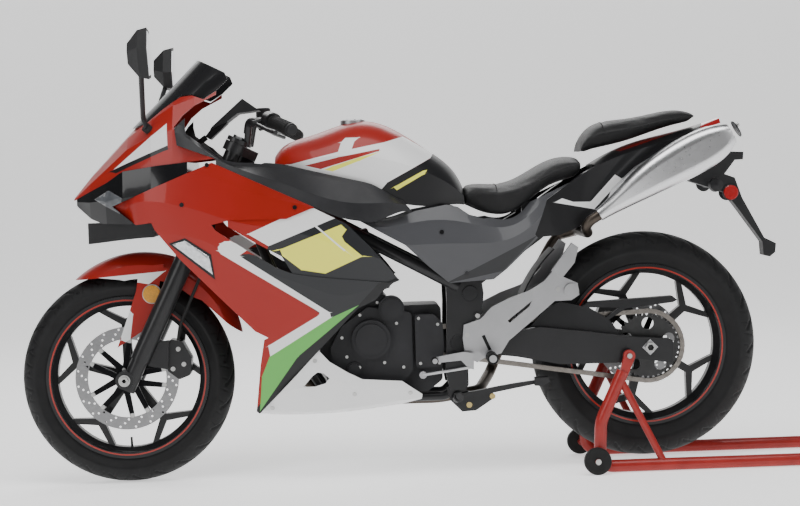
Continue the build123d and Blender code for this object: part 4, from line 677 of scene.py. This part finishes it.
links = bpy.data.node_groups.new("chain links", "GeometryNodeTree")
links.interface.new_socket("Geometry", in_out="INPUT", socket_type="NodeSocketGeometry")
links.interface.new_socket("Link", in_out="INPUT", socket_type="NodeSocketObject")
links.interface.new_socket("Finish", in_out="INPUT", socket_type="NodeSocketMaterial")
links.interface.new_socket("Geometry", in_out="OUTPUT", socket_type="NodeSocketGeometry")
l_in = links.nodes.new("NodeGroupInput")
l_obj = links.nodes.new("GeometryNodeObjectInfo")
l_face = links.nodes.new("GeometryNodeInputNamedAttribute")
l_face.data_type = "FLOAT_VECTOR"
l_face.inputs["Name"].default_value = "facing"
l_aim = links.nodes.new("FunctionNodeAlignRotationToVector")
l_aim.axis, l_aim.pivot_axis = "X", "Y"
l_put = links.nodes.new("GeometryNodeInstanceOnPoints")
l_real = links.nodes.new("GeometryNodeRealizeInstances")
l_mat = links.nodes.new("GeometryNodeSetMaterial")
l_out = links.nodes.new("NodeGroupOutput")
for a, b in ((l_in.outputs["Link"], l_obj.inputs["Object"]),
             (l_face.outputs["Attribute"], l_aim.inputs["Vector"]),
             (l_in.outputs["Geometry"], l_put.inputs["Points"]),
             (l_obj.outputs["Geometry"], l_put.inputs["Instance"]),
             (l_aim.outputs["Rotation"], l_put.inputs["Rotation"]),
             (l_put.outputs["Instances"], l_real.inputs["Geometry"]),
             (l_real.outputs["Geometry"], l_mat.inputs["Geometry"]),
             (l_in.outputs["Finish"], l_mat.inputs["Material"]),
             (l_mat.outputs["Geometry"], l_out.inputs["Geometry"])):
    links.links.new(a, b)
for kind, first, plate_y, plate, pin_radius, pin_half in (("outer", 0, 0.0068, 0.0017, 0.0026, 0.0096),
                                                          ("inner", 1, 0.0048, 0.0017, 0.0050, 0.0046)):
    pattern = bpy.data.objects.new(kind + "_link",
                                   link_mesh(kind + "_link", plate_y, plate, pin_radius, pin_half))
    bpy.context.scene.collection.objects.link(pattern)
    places = []
    for k in range(first, link_count, 2):
        spot, heading = chain_place((k + 0.5) * loop_length / link_count)
        places.append((spot, (cos(heading), 0, sin(heading))))
    run = repeated("chain_%s_links" % kind, links, places, {"Link": pattern, "Finish": chain_steel}, "chassis")
    bpy.data.objects.remove(pattern)
    if kind == "outer":
        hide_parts("chain")

# ---- Seats -----------------------------------------------------------------------------------
# Foam pads under stretched black vinyl, tight over a crowned base, with a stitched seam across
# each. The cover is pulled down and stapled under the base pan.
vinyl = finish("grained seat vinyl", (0.010, 0.010, 0.0105), 0.46, mottle=(24, 0.2), bump=(520, 0.7, 0.0006),
               wear=0.08)
thread = finish("seat thread", (0.03, 0.03, 0.03), 0.6, mottle=(60, 0.2), bump=(2000, 0.4, 0.0002))


def padded_seat(name, node, seams, cap):
    """Voxel copy of the seat solid, puffed by cloth pressure, with its seams pressed in."""
    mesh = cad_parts[node].data.copy()
    mesh.name = name
    mesh.materials.clear()
    pad = new_object(name, mesh, vinyl)
    weld = pad.modifiers.new("weld", "WELD")
    weld.merge_threshold = 0.0001
    blocks = pad.modifiers.new("blocks", "REMESH")
    blocks.mode, blocks.voxel_size = "VOXEL", 0.006
    settle = pad.modifiers.new("settle", "SMOOTH")
    settle.factor, settle.iterations = 0.6, 6
    seen = bpy.context.evaluated_depsgraph_get()
    solid = bpy.data.meshes.new_from_object(pad.evaluated_get(seen))
    pad.modifiers.clear()
    pad.data = solid
    start = [v.co.copy() for v in solid.vertices]
    puff = pad.modifiers.new("foam", "CLOTH")
    puff.settings.use_pressure = True
    puff.settings.uniform_pressure_force = 4.0
    puff.settings.effector_weights.gravity = 0
    for number in range(1, 21):
        bpy.context.scene.frame_set(number)
    seen = bpy.context.evaluated_depsgraph_get()
    swollen = bpy.data.meshes.new_from_object(pad.evaluated_get(seen))
    pad.modifiers.clear()
    for spot, moved in zip(start, swollen.vertices):
        way = moved.co - spot
        if way.length > cap:
            way *= cap / way.length
        moved.co = spot + way
    pad.data = swollen
    bpy.context.scene.frame_set(1)
    tree = BVHTree.FromPolygons([v.co.copy() for v in pad.data.vertices],
                                [tuple(p.vertices) for p in pad.data.polygons])
    stitch_places = []
    for seam_x in seams:
        for k in range(-26, 27):
            y = k * 0.0042
            hit, normal, _, _ = tree.ray_cast(Vector((seam_x + 0.006, y, 1.3)), Vector((0, 0, -1)))
            if hit and normal.z > 0.3:
                stitch_places.append((hit, normal))
        for v in pad.data.vertices:
            gap = (v.co.x - seam_x) / 0.005
            if abs(gap) < 3 and v.normal.z > 0.1:
                v.co -= v.normal * 0.0022 * 2.718 ** (-gap * gap)
    pad.data.materials.clear()
    pad.data.materials.append(vinyl)
    pad.data.shade_smooth()
    fine = pad.modifiers.new("cover", "SUBSURF")
    fine.levels = fine.render_levels = 1
    place_on(pad, "chassis")
    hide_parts(node)
    screws(name + "_stitches", stitch_places, 1.1, 0.9, thread, "chassis")


padded_seat("rider_pad", "rider_seat", (-0.180,), 0.004)
padded_seat("pillion_pad", "passenger_seat", (-0.480,), 0.004)

# ---- Lamps, indicators and reflectors ---------------------------------------------------------
# A dark bowl each side of the lamp, clear indicator lenses in black bezels on the fairing, and
# a red reflector and an indicator pod on each side of the plate holder.
node_trees = {}


def surface_of(node):
    """Search tree over a CAD piece's surface."""
    if node not in node_trees:
        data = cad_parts[node].data
        node_trees[node] = BVHTree.FromPolygons([v.co.copy() for v in data.vertices],
                                                [tuple(p.vertices) for p in data.polygons])
    return node_trees[node]


def on_surface(node, x, z, side):
    """Where a line across the bike meets the outside of a piece, and the way its surface faces."""
    spot, normal, _, _ = surface_of(node).ray_cast(Vector((x * MM, side * 0.6, z * MM)), Vector((0, -side, 0)))
    if normal.y * side < 0:
        normal = -normal
    return spot, normal


def cut_patch(name, node, outline, side, lift, thickness, material, body):
    """A thin piece cut to a convex side-view outline in millimetres from the skin of a panel, and raised."""
    work = bmesh.new()
    work.from_mesh(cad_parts[node].data)
    bmesh.ops.remove_doubles(work, verts=work.verts, dist=0.00001)
    area = sum(outline[i - 1][0] * outline[i][1] - outline[i][0] * outline[i - 1][1]
               for i in range(len(outline)))
    loop = outline if area > 0 else outline[::-1]
    for i, (x, z) in enumerate(loop):
        x0, z0 = loop[i - 1]
        out = Vector((z - z0, 0, x0 - x)).normalized()
        everything = work.verts[:] + work.edges[:] + work.faces[:]
        bmesh.ops.bisect_plane(work, geom=everything, plane_co=Vector((x * MM, 0, z * MM)), plane_no=out,
                               clear_outer=True)
    inner = [f for f in work.faces if f.normal.y * side < 0.12]
    bmesh.ops.delete(work, geom=inner, context="FACES")
    lifted = {v: v.co + v.normal * lift for v in work.verts}
    for v, place in lifted.items():
        v.co = place
    bmesh.ops.remove_doubles(work, verts=work.verts, dist=0.0001)
    mesh = bpy.data.meshes.new(name)
    work.to_mesh(mesh)
    work.free()
    piece = new_object(name, mesh, material)
    wall = piece.modifiers.new("wall", "SOLIDIFY")
    wall.thickness, wall.offset = thickness, -1
    return place_on(piece, body)


clear_lens = finish("clear lens over reflector", (0.62, 0.63, 0.65), 0.12, metallic=0.6, coat=1.0,
                    mottle=(110, 0.35), bump=(240, 0.9, 0.0012), wear=0.06)
lamp_glass = finish("lamp bowl", (0.075, 0.080, 0.088), 0.20, coat=0.4, mottle=(50, 0.6),
                    bump=(90, 0.5, 0.001), wear=0.04)
for side, hand in ((1, "left"), (-1, "right")):
    cut_patch("lamp_bowl_" + hand, "headlamp", [(924, 788), (880, 812), (842, 790), (850, 748)],
              side, 0.0008, 0.0012, lamp_glass, "chassis")
    cut_patch("indicator_bezel_" + hand, "fairing_" + hand, [(716, 665), (672, 679), (604, 633), (596, 566)],
              side, 0.0018, 0.003, grained, "chassis")
    cut_patch("indicator_lens_" + hand, "fairing_" + hand, [(706, 664), (672, 673), (609, 629), (601, 580)],
              side, 0.0040, 0.004, clear_lens, "chassis")
red_glass = finish("red reflector", (0.34, 0.006, 0.006), 0.14, coat=1.0, mottle=(300, 0.3),
                   bump=(600, 0.9, 0.0008))
lens, shells, pods = ([], []), ([], []), ([], [])
for side in LEFT_AND_RIGHT:
    spot, _ = on_surface("plate_holder", -834, 752, side)
    turned(shells, spot + Vector((0, 0.0003 * side, 0)), (0, side, 0), disc_profile(0.023, 0.006, 0.002))
    turned(lens, spot + Vector((0, 0.0063 * side, 0)), (0, side, 0), disc_profile(0.0205, 0.003, 0.0015))
    spot, _ = on_surface("plate_holder", -780, 775, side)
    turned(pods, spot + Vector((0, 0.0003 * side, 0)), (0, side, 0),
           [(0, 0.00005), (0, 0.009), (0.050, 0.009), (0.056, 0.020), (0.078, 0.018), (0.084, 0.00005)])
finished("rear_reflector_shells", shells, grained, "chassis")
finished("rear_reflectors", lens, red_glass, "chassis")
finished("rear_indicators", pods, grained, "chassis")

# ---- Fasteners ----------------------------------------------------------------------------------
# Black and plated socket heads on the panels, engine covers, frame plate, filler cap and stand,
# and two black plugs in the frame plate. Of each side's four footrest bolts, one stands clear
# of the bracket and one is buried in it.
dark_steel = finish("black oxide steel", (0.03, 0.03, 0.032), 0.35, metallic=0.9, mottle=(60, 0.2),
                    bump=(900, 0.2, 0.0002))
for node, spots, metal in (("fairing", ((677, 768), (377, 752), (607, 872)), dark_steel),
                           ("belly_pan", ((338, 333), (459, 203), (233, 237), (81, 235)), steel),
                           ("side_cover", ((-16, 672), (-82, 558)), dark_steel)):
    for side, hand in ((1, "left"), (-1, "right")):
        places = [on_surface(node + "_" + hand, x, z, side) for x, z in spots]
        screws("%s_screws_%s" % (node, hand), places, 6.0, 3.0, metal, "chassis")
SPROCKET_BOLT_Y, FOOTREST_BOLT_Y = 0.1128, 0.1405
cover_bolts = [on_surface("crankcase", x, z, 1) for x, z in
               ((263, 388), (251, 335), (217, 306), (148, 316), (163, 480), (112, 423), (212, 449), (96, 302))]
for x, z in ((-2, 312), (50, 312), (0, 418), (52, 436)):
    cover_bolts.append((Vector((x * MM, SPROCKET_BOLT_Y, z * MM)), (0, 1, 0)))
screws("engine_cover_bolts", cover_bolts, 4.2, 3.6, steel, "chassis")
zinc = finish("yellow zinc plate", (0.52, 0.40, 0.17), 0.34, metallic=1.0, mottle=(40, 0.15),
              bump=(900, 0.2, 0.0002))
screws("frame_plate_bolts", [on_surface("main_frame", x, z, 1) for x, z in ((-147, 212), (-82, 190))],
       8.0, 4.0, zinc, "chassis")
plugs = ([], [])
for x, z in ((-91, 501), (-54, 366)):
    spot, normal = on_surface("main_frame", x, z, 1)
    turned(plugs, spot + normal * 0.0003, normal, disc_profile(0.0215, 0.004, 0.0015))
finished("frame_plugs", plugs, grained, "chassis")
cap_bolts = [(Vector((0.214 + 0.026 * cos(a), 0.026 * sin(a), 0.9866)), (0, 0, 1))
             for a in [2 * pi * k / 7 for k in range(7)]]
screws("filler_cap_bolts", cap_bolts, 3.0, 1.6, steel, "fuel_cap")
stand_bolts = [(Vector((-0.420, 0.2016 * s, 0.037)), (0, s, 0)) for s in LEFT_AND_RIGHT]
screws("roller_bolts", stand_bolts, 8.0, 4.0, steel, "chassis")
screws("stand_spool_bolts", [(Vector((-0.518, 0.1625 * s, 0.318)), (0, s, 0)) for s in LEFT_AND_RIGHT],
       7.0, 4.0, steel, "chassis")
screws("footrest_bolts", [(Vector((x * MM, FOOTREST_BOLT_Y * s, z * MM)), (0, s, 0)) for s in LEFT_AND_RIGHT
                          for x, z in ((-78, 388), (-108, 440), (-330, 505), (-366, 500))], 6.5, 4.0, steel,
       "chassis")

# ---- Silencers, mirrors and grips ---------------------------------------------------------
# A black cap with two steel tips stands 18 mm clear of each silencer's end. A flat pane lies on
# each mirror's rear face, and the grips are ribbed rubber with black bar ends.
AXIS = Vector((-0.378, 0, 0.221)).normalized()
outlets, tips = ([], []), ([], [])
for side in LEFT_AND_RIGHT:
    mouth = Vector((-0.824, 0.153 * side, 0.925))
    turned(outlets, mouth + AXIS * 0.0003, AXIS, disc_profile(0.0245, 0.004, 0.0015))
    for shift in (-0.009, 0.009):
        turned(tips, mouth + AXIS * 0.0043 + Vector((0, 0, shift)), AXIS,
               ring_profile(0.0045, 0.0065, 0, 0.006))
finished("silencer_outlets", outlets, satin, "chassis")
finished("silencer_tips", tips, steel, "chassis")
glass = finish("mirror glass", (0.75, 0.76, 0.78), 0.03, metallic=1.0, mottle=(3, 0.02),
               bump=(20, 0.02, 0.0001), wear=0.01)
MIRROR_Y, MIRROR_Z, PANE_SCALE = 330, 1162, 0.86
panes = ([], [])
for side in LEFT_AND_RIGHT:
    outline = [(-62, -13), (-25, 59), (37, 66), (62, 13), (19, -66), (-37, -59)]
    start = len(panes[0])
    for x in (0.7368, 0.7358):
        panes[0].extend((x, side * (MIRROR_Y + y * PANE_SCALE) * MM, (MIRROR_Z + z * PANE_SCALE) * MM)
                        for y, z in outline)
    n = len(outline)
    panes[1].append(tuple(range(start, start + n)))
    panes[1].append(tuple(range(start + 2 * n - 1, start + n - 1, -1)))
    panes[1].extend((start + i, start + n + i, start + n + (i + 1) % n, start + (i + 1) % n) for i in range(n))
finished("mirror_panes", panes, glass, "chassis")
inner, outer = Vector((0.430, 0.208, 0.983)), Vector((0.376, 0.338, 0.956))
run = outer - inner
ribs, ends, pots = ([], []), ([], []), ([], [])
for side in LEFT_AND_RIGHT:
    flip = Vector((1, side, 1))
    way = (run * flip).normalized()
    for k in range(15):
        spot = (inner + run * (0.14 + 0.056 * k)) * flip
        turned(ribs, spot, way, ring_profile(0.0169, 0.0182, 0, 0.0036), 24)
    turned(ends, (inner + run * 0.962) * flip, way, ring_profile(0.0113, 0.0165, 0, 0.012), 24)
    turned(ends, (inner + run * 1.004) * flip, way, disc_profile(0.014, 0.010, 0.002), 24)
finished("grip_ribs", ribs, rubber, "steering", True)
finished("bar_ends", ends, grained, "steering")
turned(pots, Vector((0.470, -0.196, 1.004)), (0, 0, 1), disc_profile(0.021, 0.030, 0.003))
finished("brake_fluid_pot", pots, grained, "steering")

# ---- Rear axle adjusters and foot rubbers --------------------------------------------------------
# A square plate and a nut stand on each side of the arm's tail; ringed rubbers cover the rests
# and the toes of the gear lever and brake pedal.
plates, axle_nuts, rubbers = ([], []), ([], []), ([], [])
for side in LEFT_AND_RIGHT:
    turned(plates, REAR_AXLE + Vector((0, 0.1283 * side, 0)), (0, side, 0),
           ring_profile(0.0092, 0.022, 0, 0.0025), 4)
    turned(axle_nuts, REAR_AXLE + Vector((0, 0.1312 * side, 0)), (0, side, 0),
           ring_profile(0.0092, 0.015, 0, 0.010), 6)
    for k in range(8):
        turned(rubbers, Vector((-0.140, (0.168 + 0.008 * k) * side, 0.330)), (0, side, 0),
               ring_profile(0.0101, 0.0155, 0, 0.0055), 20)
    for k in range(4):
        turned(rubbers, Vector((0.014, (0.169 + 0.0065 * k) * side, 0.325)), (0, side, 0),
               ring_profile(0.0071, 0.0098, 0, 0.0045), 16)
finished("axle_adjusters", plates, cast, "chassis")
finished("rear_axle_nuts", axle_nuts, steel, "chassis")
finished("foot_rubbers", rubbers, rubber, "chassis")
